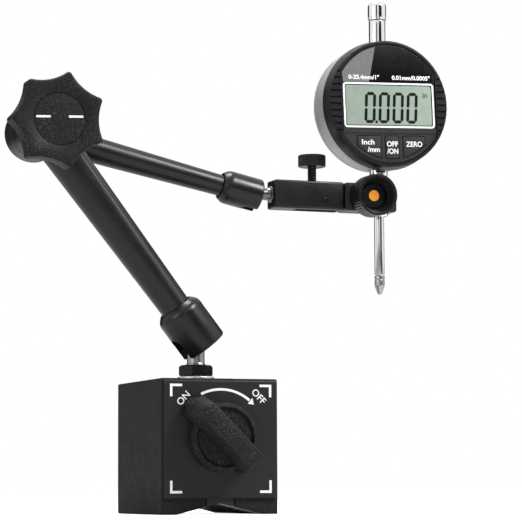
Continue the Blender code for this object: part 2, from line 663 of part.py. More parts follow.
def build_lower_arm(stand, looks, stud):
    """Socket, cup, push rod and the tapered arm with its drum, along the arm's own Z."""
    lean = Euler((0, -LOWER_ARM_LEAN, 0))
    frame = stand.frame("lower_arm_axis", LOWER_BALL, stud, lean)
    bore = LOWER_BALL_DIAMETER + 4 * GAP
    cup, cup_back = cup_profile(LOWER_BALL_DIAMETER, LOWER_NECK_DIAMETER, bore, LOWER_CUP_WALL)
    spigot_end = LOWER_SOCKET_BACK - LOWER_SPIGOT
    socket = stand.turned("lower_socket", socket_profile(
        LOWER_SOCKET_MOUTH, LOWER_SOCKET_BACK, LOWER_SOCKET_DIAMETER, LOWER_SOCKET_BACK_DIAMETER,
        LOWER_SOCKET_ROUNDING, LOWER_SOCKET_MOUTH_ROUNDING, LOWER_LIP, LOWER_LIP_DIAMETER, bore,
        spigot_end - GAP, LOWER_ARM_END_DIAMETER + 2 * GAP), looks["gloss"], frame, ring=True)
    slot = LOWER_NECK_DIAMETER / 2 + LOWER_SLOT_GAP
    slot_tool = stand.plate("lower_slot_cutter", slot_outline(slot, LOWER_SOCKET_MOUTH + OVERRUN),
                            LOWER_SOCKET_DIAMETER, None, frame, (-LOWER_SOCKET_DIAMETER / 2, 0, 0),
                            Matrix(((0, 0, -1), (1, 0, 0), (0, 1, 0))).to_euler(), tool=True)
    cut(socket, slot_tool)
    stand.turned("lower_ball_cup", cup, looks["brass"], frame)

    rod = LOWER_ROD_DIAMETER / 2
    hub_clear = HUB_BOLT_DIAMETER / 2 + 2 * GAP
    stand.rod("lower_push_rod", rod, cup_back + GAP, LOWER_ARM_LENGTH - hub_clear, looks["steel"], frame,
              facets=FACETS_SMALL, chamfer=GAP)
    end = LOWER_ARM_END_DIAMETER / 2
    top = LOWER_ARM_TOP_DIAMETER / 2
    arm = stand.turned("lower_arm", [(0, LOWER_ARM_LENGTH), (top, LOWER_ARM_LENGTH),
                                     (end, LOWER_SOCKET_BACK), (end, spigot_end), (0, spigot_end)],
                       looks["arm"], frame)
    hub_place = (0, 0, LOWER_ARM_LENGTH)
    half = LOWER_ARM_FLATS / 2
    drum = stand.rod("lower_drum_joiner", DRUM_DIAMETER / 2, -half - OVERRUN, half + OVERRUN, None, frame,
                     hub_place, FRONT, facets=FACETS_LARGE, tool=True)
    slab = stand.block("lower_flats", (2 * DRUM_DIAMETER, LOWER_ARM_FLATS, 3 * LOWER_ARM_LENGTH), None, frame,
                       tool=True)
    boolean(arm, drum, "UNION")
    boolean(arm, slab, "INTERSECT")
    cut(arm, stand.rod("lower_rod_bore", rod + GAP, 0, LOWER_ARM_LENGTH, None, frame, facets=FACETS_SMALL, tool=True),
        stand.rod("lower_bolt_hole", HUB_BOLT_DIAMETER / 2 + GAP, -half - OVERRUN, half + OVERRUN, None, frame,
                  hub_place, FRONT, tool=True))
    return frame


def build_upper_arm(stand, looks, lower):
    """The second arm, which starts behind the first at the hub and carries the hub's bolt."""
    lie = Euler((0, pi / 2 + UPPER_ARM_DROP, 0))
    frame = stand.frame("elbow_axis", UPPER_HUB, lower, lie)
    ball_at = UPPER_ARM_LENGTH
    bore = UPPER_BALL_DIAMETER + 4 * GAP
    cup, cup_back = cup_profile(UPPER_BALL_DIAMETER, UPPER_NECK_DIAMETER, bore, UPPER_CUP_WALL)
    spigot_end = UPPER_SOCKET_BACK - UPPER_SPIGOT
    profile = socket_profile(
        UPPER_SOCKET_MOUTH, UPPER_SOCKET_BACK, UPPER_SOCKET_DIAMETER, UPPER_SOCKET_BACK_DIAMETER,
        UPPER_SOCKET_ROUNDING, UPPER_SOCKET_MOUTH_ROUNDING, UPPER_LIP, UPPER_LIP_DIAMETER, bore,
        spigot_end - GAP, UPPER_ARM_END_DIAMETER + 2 * GAP)
    socket = stand.turned("upper_socket", flipped(profile), looks["gloss"], frame, (0, 0, ball_at), ring=True)
    slot = UPPER_NECK_DIAMETER / 2 + UPPER_SLOT_GAP
    slot_tool = stand.plate("upper_slot_cutter", slot_outline(slot, UPPER_SOCKET_MOUTH + OVERRUN),
                            UPPER_SOCKET_DIAMETER, None, frame, (UPPER_SOCKET_DIAMETER / 2, 0, ball_at),
                            Matrix(((0, 0, 1), (1, 0, 0), (0, -1, 0))).to_euler(), tool=True)
    cut(socket, slot_tool)
    stand.turned("upper_ball_cup", flipped(cup), looks["brass"], frame, (0, 0, ball_at))

    rod = UPPER_ROD_DIAMETER / 2
    hub_clear = HUB_BOLT_DIAMETER / 2 + 2 * GAP
    stand.rod("upper_push_rod", rod, hub_clear, ball_at - cup_back - GAP, looks["steel"], frame,
              facets=FACETS_SMALL, chamfer=GAP)
    end = UPPER_ARM_END_DIAMETER / 2
    arm = stand.turned("upper_arm", [(0, ball_at - spigot_end), (end, ball_at - spigot_end),
                                     (end, ball_at - UPPER_SOCKET_BACK), (UPPER_ARM_HUB_DIAMETER / 2, 0), (0, 0)],
                       looks["arm"], frame)
    half = UPPER_DRUM_LENGTH / 2
    drum = stand.turned("upper_drum_joiner", [(0, half)] + round_corner(DRUM_DIAMETER / 2, half, UPPER_DRUM_ROUNDING, 4)
                        + [(DRUM_DIAMETER / 2, -half), (0, -half)], None, frame, turn=REAR, facets=FACETS_LARGE,
                        tool=True)
    boolean(arm, drum, "UNION")
    head_low = half - HUB_BOLT_HEAD_DEPTH - HUB_BOLT_HEAD_HEIGHT
    head = HUB_BOLT_HEAD_DIAMETER / 2
    shank = HUB_BOLT_DIAMETER / 2
    cut(arm, stand.rod("upper_rod_bore", rod + GAP, 0, ball_at, None, frame, facets=FACETS_SMALL, tool=True),
        stand.turned("upper_bolt_hole", [(0, half + OVERRUN), (head + GAP, half + OVERRUN), (head + GAP, head_low - GAP),
                                         (shank + GAP, head_low - GAP), (shank + GAP, -half - OVERRUN),
                                         (0, -half - OVERRUN)], None, frame, turn=REAR, tool=True))
    knob_face = -UPPER_ARM_PLANE - LOWER_ARM_FLATS / 2 - GAP
    bolt_end = knob_face - INSERT_INSET - INSERT_LENGTH
    stand.turned("hub_bolt", [(0, head_low + HUB_BOLT_HEAD_HEIGHT), (head - GAP, head_low + HUB_BOLT_HEAD_HEIGHT),
                              (head, head_low + HUB_BOLT_HEAD_HEIGHT - GAP), (head, head_low), (shank, head_low),
                              (shank, bolt_end + GAP), (shank - GAP, bolt_end), (0, bolt_end)],
                 looks["steel"], frame, turn=REAR)
    return frame


def star_outline(turn):
    """Radius of the lobed rim at an angle past a lobe's tip: hollow arcs that meet in rounded tips."""
    tip = KNOB_TIP_DIAMETER / 2
    reach = KNOB_VALLEY_DIAMETER / 2 + KNOB_HOLLOW_RADIUS
    past = (turn % (tau / KNOB_LOBES)) - pi / KNOB_LOBES
    hollow = reach * cos(past) - sqrt(KNOB_HOLLOW_RADIUS ** 2 - (reach * sin(past)) ** 2)
    excess = sqrt((hollow - tip) ** 2 + KNOB_TIP_BLEND ** 2)
    return (hollow + tip - excess) / 2


def build_hub_knob(stand, looks, upper):
    """Star knob that pulls the hub together."""
    frame = stand.frame("hub_knob_axis", HUB - Vector((0, LOWER_ARM_FLATS / 2 + GAP, 0)), upper)
    rim_low = KNOB_LENGTH - KNOB_RIM_THICKNESS
    sections = [(0, KNOB_NECK_DIAMETER / 2, 0, 0), (rim_low * KNOB_NECK_SHARE, KNOB_NECK_DIAMETER / 2, 0, 0),
                (rim_low * KNOB_SKIRT_SHARE, KNOB_SKIRT_DIAMETER / 2, 0, 0), (rim_low, KNOB_SKIRT_DIAMETER / 2, KNOB_SKIRT_LOBE_SHARE, 0),
                (rim_low + KNOB_RIM_ROUNDING / 3, 0, 1, KNOB_RIM_ROUNDING / 2), (rim_low + KNOB_RIM_ROUNDING, 0, 1, 0),
                (KNOB_LENGTH - KNOB_RIM_ROUNDING, 0, 1, 0),
                (KNOB_LENGTH - KNOB_RIM_ROUNDING / 3, 0, 1, KNOB_RIM_ROUNDING / 3), (KNOB_LENGTH, 0, 1, KNOB_RIM_ROUNDING)]
    count = KNOB_LOBES * KNOB_POINTS_PER_LOBE
    rings = []
    for height, round_radius, lobed_share, inset in sections:
        ring = []
        for i in range(count):
            turn = tau * i / count
            radius = lobed_share * (star_outline(turn) - inset) + (1 - lobed_share) * round_radius
            place = turn + KNOB_LOBE_ANGLE
            ring.append((radius * cos(place), radius * sin(place), height))
        rings.append(ring)
    knob = stand.loft("hub_knob", rings, looks["knob"], frame, turn=FRONT)
    cap_low = KNOB_LENGTH - KNOB_CAP_INSET - KNOB_CAP_THICKNESS
    cut(knob, stand.rod("cap_seat_cutter", KNOB_CAP_DIAMETER / 2 + GAP, cap_low - GAP, KNOB_LENGTH + OVERRUN,
                        None, frame, turn=FRONT, facets=FACETS_LARGE, tool=True),
        stand.rod("insert_seat_cutter", INSERT_DIAMETER / 2 + GAP, -OVERRUN,
                  INSERT_INSET + INSERT_LENGTH + 2 * GAP, None, frame, turn=FRONT, tool=True))
    stand.rod("hub_knob_cap", KNOB_CAP_DIAMETER / 2, cap_low, cap_low + KNOB_CAP_THICKNESS, looks["knob"],
              frame, turn=FRONT, facets=FACETS_LARGE, chamfer=GAP)
    low = INSERT_INSET
    high = INSERT_INSET + INSERT_LENGTH
    hole = HUB_BOLT_DIAMETER / 2 + GAP
    stand.turned("hub_knob_insert", [(INSERT_DIAMETER / 2, high), (INSERT_DIAMETER / 2, low), (hole, low),
                                     (hole, high)], looks["brass"], frame, turn=FRONT, ring=True)


def build_upper_stud(stand, looks, upper):
    """Ball stud screwed into the fine adjuster's block."""
    frame = stand.frame("upper_ball_axis", UPPER_BALL, upper)
    ball = UPPER_BALL_DIAMETER / 2
    neck = UPPER_NECK_DIAMETER / 2
    flare = UPPER_FLARE_DIAMETER / 2
    shoulder = HOLDER_LEFT - UPPER_BALL.x - GAP
    end = shoulder + UPPER_THREAD_LENGTH
    leave = pi - acos(sqrt(ball ** 2 - neck ** 2) / ball)
    arc = ball_arc(ball, leave, 0, 8)
    arc = [(radius, -height) for radius, height in arc]
    stand.turned("upper_ball_stud", [(0, end), (neck - GAP, end), (neck, end - GAP), (neck, shoulder),
                                     (flare, shoulder), (flare, shoulder - GAP),
                                     (neck + (flare - neck) / 3, shoulder - UPPER_FLARE_LENGTH / 2),
                                     (neck, shoulder - UPPER_FLARE_LENGTH)] + arc,
                 looks["steel"], frame, turn=RIGHT, facets=FACETS_SMALL)
    return frame


def build_fine_adjuster(stand, looks, stud):
    """Block with its channel, pivot pin, thumb screw and lever."""
    frame = stand.frame("holder_axis", UPPER_BALL, stud)
    here = lambda x, y, z: Vector((x, y, z)) - UPPER_BALL
    middle_x = (HOLDER_LEFT + HOLDER_RIGHT) / 2
    plane = UPPER_ARM_PLANE
    bottom = HOLDER_TOP - HOLDER_HEIGHT
    block = stand.block("holder_block", (HOLDER_LENGTH, HOLDER_DEPTH, HOLDER_HEIGHT), looks["arm"], frame,
                        here(middle_x, plane, bottom + HOLDER_HEIGHT / 2), edge=HOLDER_EDGE)
    lever_left = HOLDER_RIGHT - GAP - LEVER_LENGTH
    lever_low = bottom + LEVER_FOOT
    lever_top = lever_low + LEVER_HEIGHT
    ceiling = lever_top + LEVER_SWING_ROOM
    channel_left = lever_left - 2 * GAP
    channel = stand.block("channel_cutter", (HOLDER_RIGHT + OVERRUN - channel_left, LEVER_THICKNESS + 2 * GAP,
                                             ceiling - bottom + OVERRUN), None, frame,
                          here((channel_left + HOLDER_RIGHT + OVERRUN) / 2, plane,
                               (ceiling + bottom - OVERRUN) / 2), tool=True)
    pin_radius = PIN_DIAMETER / 2
    pin_place = PIN - UPPER_BALL
    reach = HOLDER_DEPTH / 2 + OVERRUN
    pin_tool = stand.rod("pin_hole_cutter", pin_radius + GAP, -reach, reach, None, frame, pin_place, FRONT,
                         facets=FACETS_SMALL, tool=True)
    screw_x = PIN.x - SCREW_FROM_PIN
    screw_tool = stand.rod("screw_hole_cutter", SCREW_DIAMETER / 2 + GAP, ceiling - OVERRUN, HOLDER_TOP + OVERRUN,
                           None, frame, here(screw_x, plane, 0), facets=FACETS_SMALL, tool=True)
    stud_tool = stand.rod("stud_seat_cutter", UPPER_NECK_DIAMETER / 2 + GAP, -OVERRUN,
                          UPPER_THREAD_LENGTH + 2 * GAP, None, frame, here(HOLDER_LEFT, plane, UPPER_BALL.z),
                          RIGHT, facets=FACETS_SMALL, tool=True)
    cut(block, channel, pin_tool, screw_tool, stud_tool)
    half_pin = HOLDER_DEPTH / 2
    stand.rod("fine_pivot_pin", pin_radius, -half_pin, half_pin, looks["oxide"], frame, pin_place, FRONT,
              facets=FACETS_SMALL, chamfer=GAP)

    screw_frame = stand.frame("fine_screw_axis", Vector((screw_x, plane, HOLDER_TOP)), frame)
    tip = lever_top + GAP - HOLDER_TOP
    radius = SCREW_DIAMETER / 2
    head = SCREW_HEAD_DIAMETER / 2
    head_top = SCREW_EXPOSED + SCREW_HEAD_HEIGHT + HOLDER_EDGE
    head_low = head_top - SCREW_HEAD_HEIGHT
    chamfer = SCREW_HEAD_CHAMFER
    stand.turned("fine_screw", [(0, head_top), (head - chamfer, head_top), (head, head_top - chamfer),
                                (head, head_low + chamfer), (head - chamfer, head_low), (radius, head_low),
                                (radius, tip + GAP), (radius - GAP, tip), (0, tip)], looks["oxide"], screw_frame)

    lever_frame = stand.frame("fine_pivot_axis", PIN, frame)
    lever = stand.block("fine_lever", (LEVER_LENGTH, LEVER_THICKNESS, LEVER_HEIGHT), looks["arm"], lever_frame,
                        Vector((lever_left + LEVER_LENGTH / 2, plane, lever_low + LEVER_HEIGHT / 2)) - PIN)
    journal_start = HOLDER_RIGHT - GAP - JOURNAL_DIAMETER / 2
    journal = stand.rod("journal_joiner", JOURNAL_DIAMETER / 2, journal_start, CLAMP_LEFT + JOURNAL_LENGTH - CLAMP_GAP,
                        None, lever_frame, Vector((0, plane, UPPER_BALL.z)) - PIN, RIGHT, chamfer=GAP, tool=True)
    boolean(lever, journal, "UNION")
    cut(lever, stand.rod("lever_hole_cutter", pin_radius + GAP, -reach, reach, None, lever_frame, (0, 0, 0), FRONT,
                         facets=FACETS_SMALL, tool=True))
    return lever_frame


def build_clamp(stand, looks, lever):
    """Split clamp for the indicator's stem, with its hand knob."""
    frame = stand.frame("clamp_axis", Vector((CLAMP_LEFT, STEM.y, STEM.z)), lever)
    left = Vector((CLAMP_LEFT, STEM.y, STEM.z))
    bottom = HOLDER_TOP - HOLDER_HEIGHT
    low = bottom - STEM.z
    high = HOLDER_TOP - STEM.z
    chamfer = CLAMP_CHAMFER
    outline = [(0, low + HOLDER_EDGE), (HOLDER_EDGE, low), (CLAMP_LENGTH - chamfer / 2, low),
               (CLAMP_LENGTH, low + chamfer / 2), (CLAMP_LENGTH, high - chamfer),
               (CLAMP_LENGTH - chamfer, high), (HOLDER_EDGE, high), (0, high - HOLDER_EDGE)]
    head = stand.plate("clamp_head", outline, HOLDER_DEPTH, looks["arm"], frame, turn=FRONT)
    stem_tool = stand.rod("stem_bore_cutter", STEM_DIAMETER / 2 + GAP, low - OVERRUN, high + OVERRUN, None, frame,
                          STEM - left, tool=True)
    split = stand.block("split_cutter", (CLAMP_SPLIT_LENGTH + OVERRUN, CLAMP_SPLIT, HOLDER_HEIGHT + 2 * OVERRUN), None,
                        frame, (CLAMP_LENGTH - CLAMP_SPLIT_LENGTH / 2 + OVERRUN / 2, 0, (low + high) / 2), tool=True)
    journal = stand.rod("journal_seat_cutter", JOURNAL_DIAMETER / 2 + GAP, -OVERRUN, JOURNAL_LENGTH - CLAMP_GAP + GAP,
                        None, frame, (0, 0, 0), RIGHT, tool=True)
    half = HOLDER_DEPTH / 2
    screw_place = CLAMP_SCREW - left
    screw_tool = stand.rod("clamp_screw_cutter", CLAMP_SCREW_DIAMETER / 2 + GAP, -CLAMP_SCREW_IN_JAW - GAP,
                           half + OVERRUN, None, frame, screw_place, FRONT, facets=FACETS_SMALL, tool=True)
    cut(head, stem_tool, split, journal, screw_tool)

    knob_frame = stand.frame("clamp_knob_axis", CLAMP_SCREW - Vector((0, half, 0)), frame)
    foot = CLAMP_KNOB_STANDOFF
    face = foot + CLAMP_KNOB_LENGTH
    radius = CLAMP_KNOB_DIAMETER / 2
    floor = face - CLAMP_KNOB_DISH
    floor_radius = CLAMP_KNOB_FLOOR_DIAMETER / 2
    knob = stand.turned("clamp_knob", [(0, floor - CLAMP_CAP_THICKNESS), (floor_radius, floor - CLAMP_CAP_THICKNESS),
                                       (floor_radius, floor), (radius - CLAMP_KNOB_RIM, face),
                                       (radius - GAP, face), (radius, face - 2 * GAP), (radius, foot + GAP),
                                       (radius - GAP, foot), (0, foot)], looks["oxide"], knob_frame, turn=FRONT,
                        facets=FACETS_LARGE)
    screw_radius = CLAMP_SCREW_DIAMETER / 2
    cut(knob, stand.rod("knob_screw_cutter", screw_radius + GAP, foot - OVERRUN, foot + CLAMP_SCREW_IN_KNOB + GAP,
                        None, knob_frame, turn=FRONT, facets=FACETS_SMALL, tool=True))
    stand.rod("clamp_knob_cap", CLAMP_CAP_DIAMETER / 2, floor - CLAMP_CAP_THICKNESS + GAP, floor, looks["cap"],
              knob_frame, turn=FRONT, facets=FACETS, chamfer=GAP)
    stand.rod("clamp_screw", screw_radius, -half - CLAMP_SCREW_IN_JAW, foot + CLAMP_SCREW_IN_KNOB, looks["steel"],
              knob_frame, turn=FRONT, facets=FACETS_SMALL, chamfer=GAP)
    return frame


def build_indicator_body(stand, looks, clamp):
    """Metal body with its cover, stem, upper sleeve and cap."""
    frame = stand.frame("stem_axis", STEM, clamp)
    dial = DIAL - STEM
    radius = BODY_DIAMETER / 2
    inner = radius - BODY_WALL
    front = BODY_FRONT - STEM.y
    rear = BODY_REAR - STEM.y
    body = stand.turned("rear_body", [(0, front + BODY_WEB), (inner, front + BODY_WEB), (inner, rear), (radius, rear),
                                      (radius, front + BODY_EDGE), (radius - BODY_EDGE, front), (0, front)],
                        looks["alloy"], frame, dial, REAR, facets=FACETS_LARGE)
    stem_tool = stand.rod("stem_seat_cutter", STEM_DIAMETER / 2 + GAP, dial.z - radius - OVERRUN,
                          dial.z - inner + BODY_WALL, None, frame, tool=True)
    sleeve_tool = stand.rod("sleeve_seat_cutter", SLEEVE_DIAMETER / 2 + GAP, dial.z + inner - BODY_WALL,
                            dial.z + radius + OVERRUN, None, frame, tool=True)
    cut(body, stem_tool, sleeve_tool)
    cover_low = rear + GAP
    cover_high = cover_low + COVER_THICKNESS
    cover = stand.turned("back_cover", [(0, cover_high), (radius - COVER_EDGE, cover_high),
                                        (radius, cover_high - COVER_EDGE), (radius, cover_low), (0, cover_low)],
                         looks["alloy"], frame, dial, REAR, facets=FACETS_LARGE)
    screw_radius = COVER_SCREW_DIAMETER / 2
    circle = radius - BODY_WALL / 2
    head_low = cover_high + GAP
    end = head_low - COVER_SCREW_LENGTH
    for i in range(4):
        turn = COVER_SCREW_ANGLE + tau * i / 4
        place = dial + Vector((circle * cos(turn), 0, circle * sin(turn)))
        hole = stand.rod(f"cover_screw_cutter_{i + 1}", screw_radius + GAP, end - GAP, cover_high + OVERRUN, None,
                         frame, place, REAR, facets=12, tool=True)
        cut(body, hole)
        cut(cover, hole)
        stand.turned(f"cover_screw_{i + 1}", [(0, head_low + COVER_SCREW_HEAD_HEIGHT),
                                              (COVER_SCREW_HEAD_DIAMETER / 2 - GAP, head_low + COVER_SCREW_HEAD_HEIGHT),
                                              (COVER_SCREW_HEAD_DIAMETER / 2, head_low), (screw_radius, head_low),
                                              (screw_radius, end), (0, end)], looks["steel"], frame, place, REAR,
                     facets=12)

    stem_low = dial.z - STEM_BELOW_DIAL
    stem_high = dial.z - radius + STEM_SEAT
    bore = SPINDLE_DIAMETER / 2 + GAP
    outer = STEM_DIAMETER / 2
    stand.turned("stem", [(outer - STEM_CHAMFER, stem_high), (outer, stem_high - STEM_CHAMFER),
                          (outer, stem_low + STEM_CHAMFER), (outer - STEM_CHAMFER, stem_low), (bore, stem_low),
                          (bore, stem_high)], looks["chrome"], frame, ring=True)
    sleeve_low = dial.z + radius - SLEEVE_SEAT
    sleeve_high = dial.z + radius + SLEEVE_LENGTH
    neck_high = sleeve_high + SLEEVE_NECK_LENGTH
    stand.turned("upper_sleeve", [(SLEEVE_NECK_DIAMETER / 2, neck_high), (SLEEVE_NECK_DIAMETER / 2, sleeve_high),
                                  (SLEEVE_DIAMETER / 2, sleeve_high), (SLEEVE_DIAMETER / 2, sleeve_low),
                                  (bore, sleeve_low), (bore, neck_high)], looks["chrome"], frame, ring=True)
    cap_low = sleeve_high + GAP
    band_high = cap_low + CAP_BAND
    cap_high = band_high + CAP_DOME
    cap_radius = CAP_DIAMETER / 2
    flat = CAP_DOME_FLAT_DIAMETER / 2
    dome = [(flat + (cap_radius - flat) * sin(pi / 2 * i / 4), band_high + CAP_DOME * cos(pi / 2 * i / 4))
            for i in range(5)]
    stand.turned("dust_cap", [(0, cap_high)] + dome
                 + [(cap_radius, cap_low), (SLEEVE_NECK_DIAMETER / 2 + GAP, cap_low),
                    (SLEEVE_NECK_DIAMETER / 2 + GAP, neck_high + GAP), (bore, neck_high + GAP),
                    (bore, cap_high - CAP_TOP_WALL), (0, cap_high - CAP_TOP_WALL)], looks["chrome"], frame)
    stand.rod("battery", BATTERY_DIAMETER / 2, front + BODY_WEB + GAP, front + BODY_WEB + GAP + BATTERY_THICKNESS,
              looks["steel"], frame, dial + Vector((BATTERY_OFFSET, 0, 0)), REAR, facets=FACETS_SMALL)
    return frame, stem_low


def build_spindle(stand, looks, body, stem_low):
    """Sliding spindle with its contact point and the scale that the body reads."""
    frame = stand.frame("spindle_axis", STEM, body)
    low = stem_low - SPINDLE_TRAVEL - SPINDLE_STOP_GAP
    high = low + SPINDLE_LENGTH
    radius = SPINDLE_DIAMETER / 2
    hole = POINT_SPIGOT_DIAMETER / 2 + GAP
    stand.turned("spindle", [(0, high), (radius - GAP, high), (radius, high - GAP), (radius, low), (hole, low),
                             (hole, low + POINT_SPIGOT_LENGTH + GAP), (0, low + POINT_SPIGOT_LENGTH + GAP)],
                 looks["chrome"], frame, facets=FACETS_SMALL)
    top = low - GAP
    spigot = POINT_SPIGOT_DIAMETER / 2
    collar = POINT_DIAMETER / 2
    tip = POINT_TIP_DIAMETER / 2
    tip_centre = top - POINT_LENGTH + tip
    end = [(tip * cos(pi / 2 * i / 4), tip_centre - tip * sin(pi / 2 * i / 4)) for i in range(5)]
    stand.turned("contact_point", [(0, top + POINT_SPIGOT_LENGTH), (spigot, top + POINT_SPIGOT_LENGTH), (spigot, top),
                                   (collar, top), (collar, top - POINT_COLLAR)] + end[:-1] + [(0, end[-1][1])],
                 looks["carbide"], frame, facets=FACETS_SMALL)
    dial = DIAL - STEM
    carrier_place = dial - Vector((0, 0, CARRIER_BELOW_DIAL))
    carrier = stand.block("scale_carrier", (CARRIER_WIDTH, CARRIER_DEPTH + GAP, CARRIER_HEIGHT), looks["spacer"], frame,
                          carrier_place)
    cut(carrier, stand.rod("carrier_hole_cutter", radius + GAP, -CARRIER_HEIGHT, CARRIER_HEIGHT, None, frame,
                           carrier_place, facets=FACETS_SMALL, tool=True))
    scale_y = -(CARRIER_DEPTH + GAP) / 2 - GAP / 2 - SCALE_THICKNESS / 2
    stand.block("scale_strip", (SCALE_WIDTH, SCALE_THICKNESS, SCALE_LENGTH), looks["board"], frame,
                carrier_place + Vector((0, scale_y, (SCALE_LENGTH - CARRIER_HEIGHT) / 2)))


def rounded_window(width, height, corner, middle, steps=3):
    """Rectangle with round corners."""
    points = []
    for sx, sy, start in ((1, 1, 0), (-1, 1, pi / 2), (-1, -1, pi), (1, -1, 3 * pi / 2)):
        for i in range(steps + 1):
            turn = start + pi / 2 * i / steps
            points.append((sx * (width / 2 - corner) + corner * cos(turn),
                           middle + sy * (height / 2 - corner) + corner * sin(turn)))
    return points


def panel_outline(diameter, width, steps=10):
    """Disc with its left and right sides cut straight."""
    radius = diameter / 2
    start = acos(width / 2 / radius)
    arc = [(radius * cos(start + (pi - 2 * start) * i / steps), radius * sin(start + (pi - 2 * start) * i / steps))
           for i in range(steps + 1)]
    return arc + [(-x, -y) for x, y in arc]


def bay_outline(top, diameter, left=None, right=None, margin=0, steps=KEY_ARC_STEPS):
    """Part of a disc below a chord, also between two upright sides."""
    radius = diameter / 2 + margin
    top = top - margin
    chord = sqrt(radius ** 2 - top ** 2)
    left = -chord if left is None else left - margin
    right = chord if right is None else right + margin
    start = atan2(-sqrt(radius ** 2 - left ** 2), left)
    end = atan2(-sqrt(radius ** 2 - right ** 2), right)
    arc = [(radius * cos(start + (end - start) * i / steps), radius * sin(start + (end - start) * i / steps))
           for i in range(steps + 1)]
    corners = [] if right == chord else [(right, -top)]
    corners += [] if left == -chord else [(left, -top)]
    return arc + corners


def build_display_head(stand, looks, body):
    """Turning head: housing, front panel, display, board and keys."""
    frame = stand.frame("display_axis", Vector((DIAL.x, HEAD_REAR, DIAL.z)), body)
    front = HEAD_LENGTH
    front_radius = HEAD_FRONT_DIAMETER / 2
    housing = stand.turned("bezel_ring", [(0, front), (front_radius - HEAD_EDGE, front), (front_radius, front - HEAD_EDGE),
                                          (HEAD_REAR_DIAMETER / 2, 0), (0, 0)], looks["bezel"], frame, turn=FRONT,
                           facets=FACETS_LARGE)
    panel_face = front - PANEL_INSET
    panel_back = panel_face - PANEL_THICKNESS
    seat_depth = PANEL_THICKNESS + PANEL_INSET + GAP + OVERRUN
    seat = stand.plate("panel_seat_cutter", panel_outline(PANEL_DIAMETER + 2 * GAP, PANEL_WIDTH + 2 * GAP), seat_depth,
                       None, frame, (0, -(front + OVERRUN - seat_depth / 2), 0), FRONT, tool=True)
    ledge = 2 * PANEL_LEDGE
    through = stand.plate("panel_opening_cutter", panel_outline(PANEL_DIAMETER - ledge, PANEL_WIDTH - ledge / 2),
                          2 * HEAD_LENGTH, None, frame, (0, -HEAD_LENGTH / 2, 0), FRONT, tool=True)
    cavity = stand.rod("head_cavity_cutter", HEAD_CAVITY_DIAMETER / 2, -OVERRUN, HEAD_CAVITY_DEPTH, None, frame,
                       turn=FRONT, facets=FACETS_LARGE, tool=True)
    for name, side in (("grip_cutter_left", -1), ("grip_cutter_right", 1)):
        grooves = stand.block(name, (GRIP_WIDTH + OVERRUN, 2 * GRIP_GROOVE_DEPTH, GRIP_GROOVE_WIDTH),
                              None, frame, (side * (front_radius - GRIP_WIDTH / 2 + OVERRUN / 2), -front,
                                            GRIP_MIDDLE - GRIP_PITCH * (GRIP_GROOVES - 1) / 2), tool=True)
        row = grooves.modifiers.new("Row", "ARRAY")
        row.count = GRIP_GROOVES
        row.use_relative_offset = False
        row.use_constant_offset = True
        row.constant_offset_displace = (0, 0, GRIP_PITCH)
        row.merge_threshold = MERGE
        cut(housing, grooves, solver="MANIFOLD")
    cut(housing, seat, through, cavity, solver="MANIFOLD")

    panel = stand.plate("face_panel", panel_outline(PANEL_DIAMETER, PANEL_WIDTH), PANEL_THICKNESS, looks["panel"], frame,
                        (0, -(panel_face + panel_back) / 2, 0), FRONT)
    window = stand.plate("window_cutter", rounded_window(LCD_WIDTH + 2 * GAP, LCD_HEIGHT + 2 * GAP, LCD_CORNER + GAP,
                                                         -LCD_BELOW_CENTRE), 2 * HEAD_LENGTH, None, frame, turn=FRONT,
                         tool=True)
    bay = stand.plate("key_bay_cutter", bay_outline(KEY_BAY_TOP, KEY_BAY_DIAMETER, steps=2 * KEY_ARC_STEPS), OVERRUN,
                      None, frame, (0, -(panel_face - KEY_BAY_DEPTH + OVERRUN / 2), 0), FRONT, tool=True)
    cut(panel, window, bay)
    glass_face = panel_face - LCD_INSET
    glass_back = glass_face - LCD_GLASS_THICKNESS
    stand.plate("lcd_glass", rounded_window(LCD_WIDTH, LCD_HEIGHT, LCD_CORNER, -LCD_BELOW_CENTRE), LCD_GLASS_THICKNESS,
                looks["lcd"], frame, (0, -(glass_face + glass_back) / 2, 0), FRONT)
    module_face = glass_back - GAP
    margin = 2 * LCD_MODULE_MARGIN
    stand.block("lcd_module", (LCD_WIDTH - margin, LCD_MODULE_THICKNESS, LCD_HEIGHT - margin), looks["lcd_back"], frame,
                (0, -(module_face - LCD_MODULE_THICKNESS / 2), -LCD_BELOW_CENTRE))
    board_face = HEAD_CAVITY_DEPTH - BOARD_CLEARANCE
    stand.rod("circuit_board", HEAD_CAVITY_DIAMETER / 2 - GAP, board_face - BOARD_THICKNESS, board_face, looks["board"],
              frame, turn=FRONT)
    key_face = panel_face - KEY_BAY_DEPTH + KEY_PROUD
    for name, left, right in (("button_units", KEY_UNITS_LEFT, KEY_UNITS_RIGHT),
                              ("button_power", KEY_POWER_LEFT, KEY_POWER_RIGHT),
                              ("button_zero", KEY_ZERO_LEFT, KEY_ZERO_RIGHT)):
        outline = bay_outline(KEY_TOP, KEY_DIAMETER, left, right)
        hole = stand.plate(f"{name}_cutter", bay_outline(KEY_TOP, KEY_DIAMETER, left, right, GAP), 2 * HEAD_LENGTH,
                           None, frame, turn=FRONT, tool=True)
        cut(panel, hole)
        key_frame = stand.frame(f"{name}_axis", Vector((DIAL.x, HEAD_REAR, DIAL.z)), frame)
        stand.plate(name, outline, KEY_LENGTH, looks["key"], key_frame, (0, -(key_face - KEY_LENGTH / 2), 0), FRONT,
                    edge=KEY_EDGE)


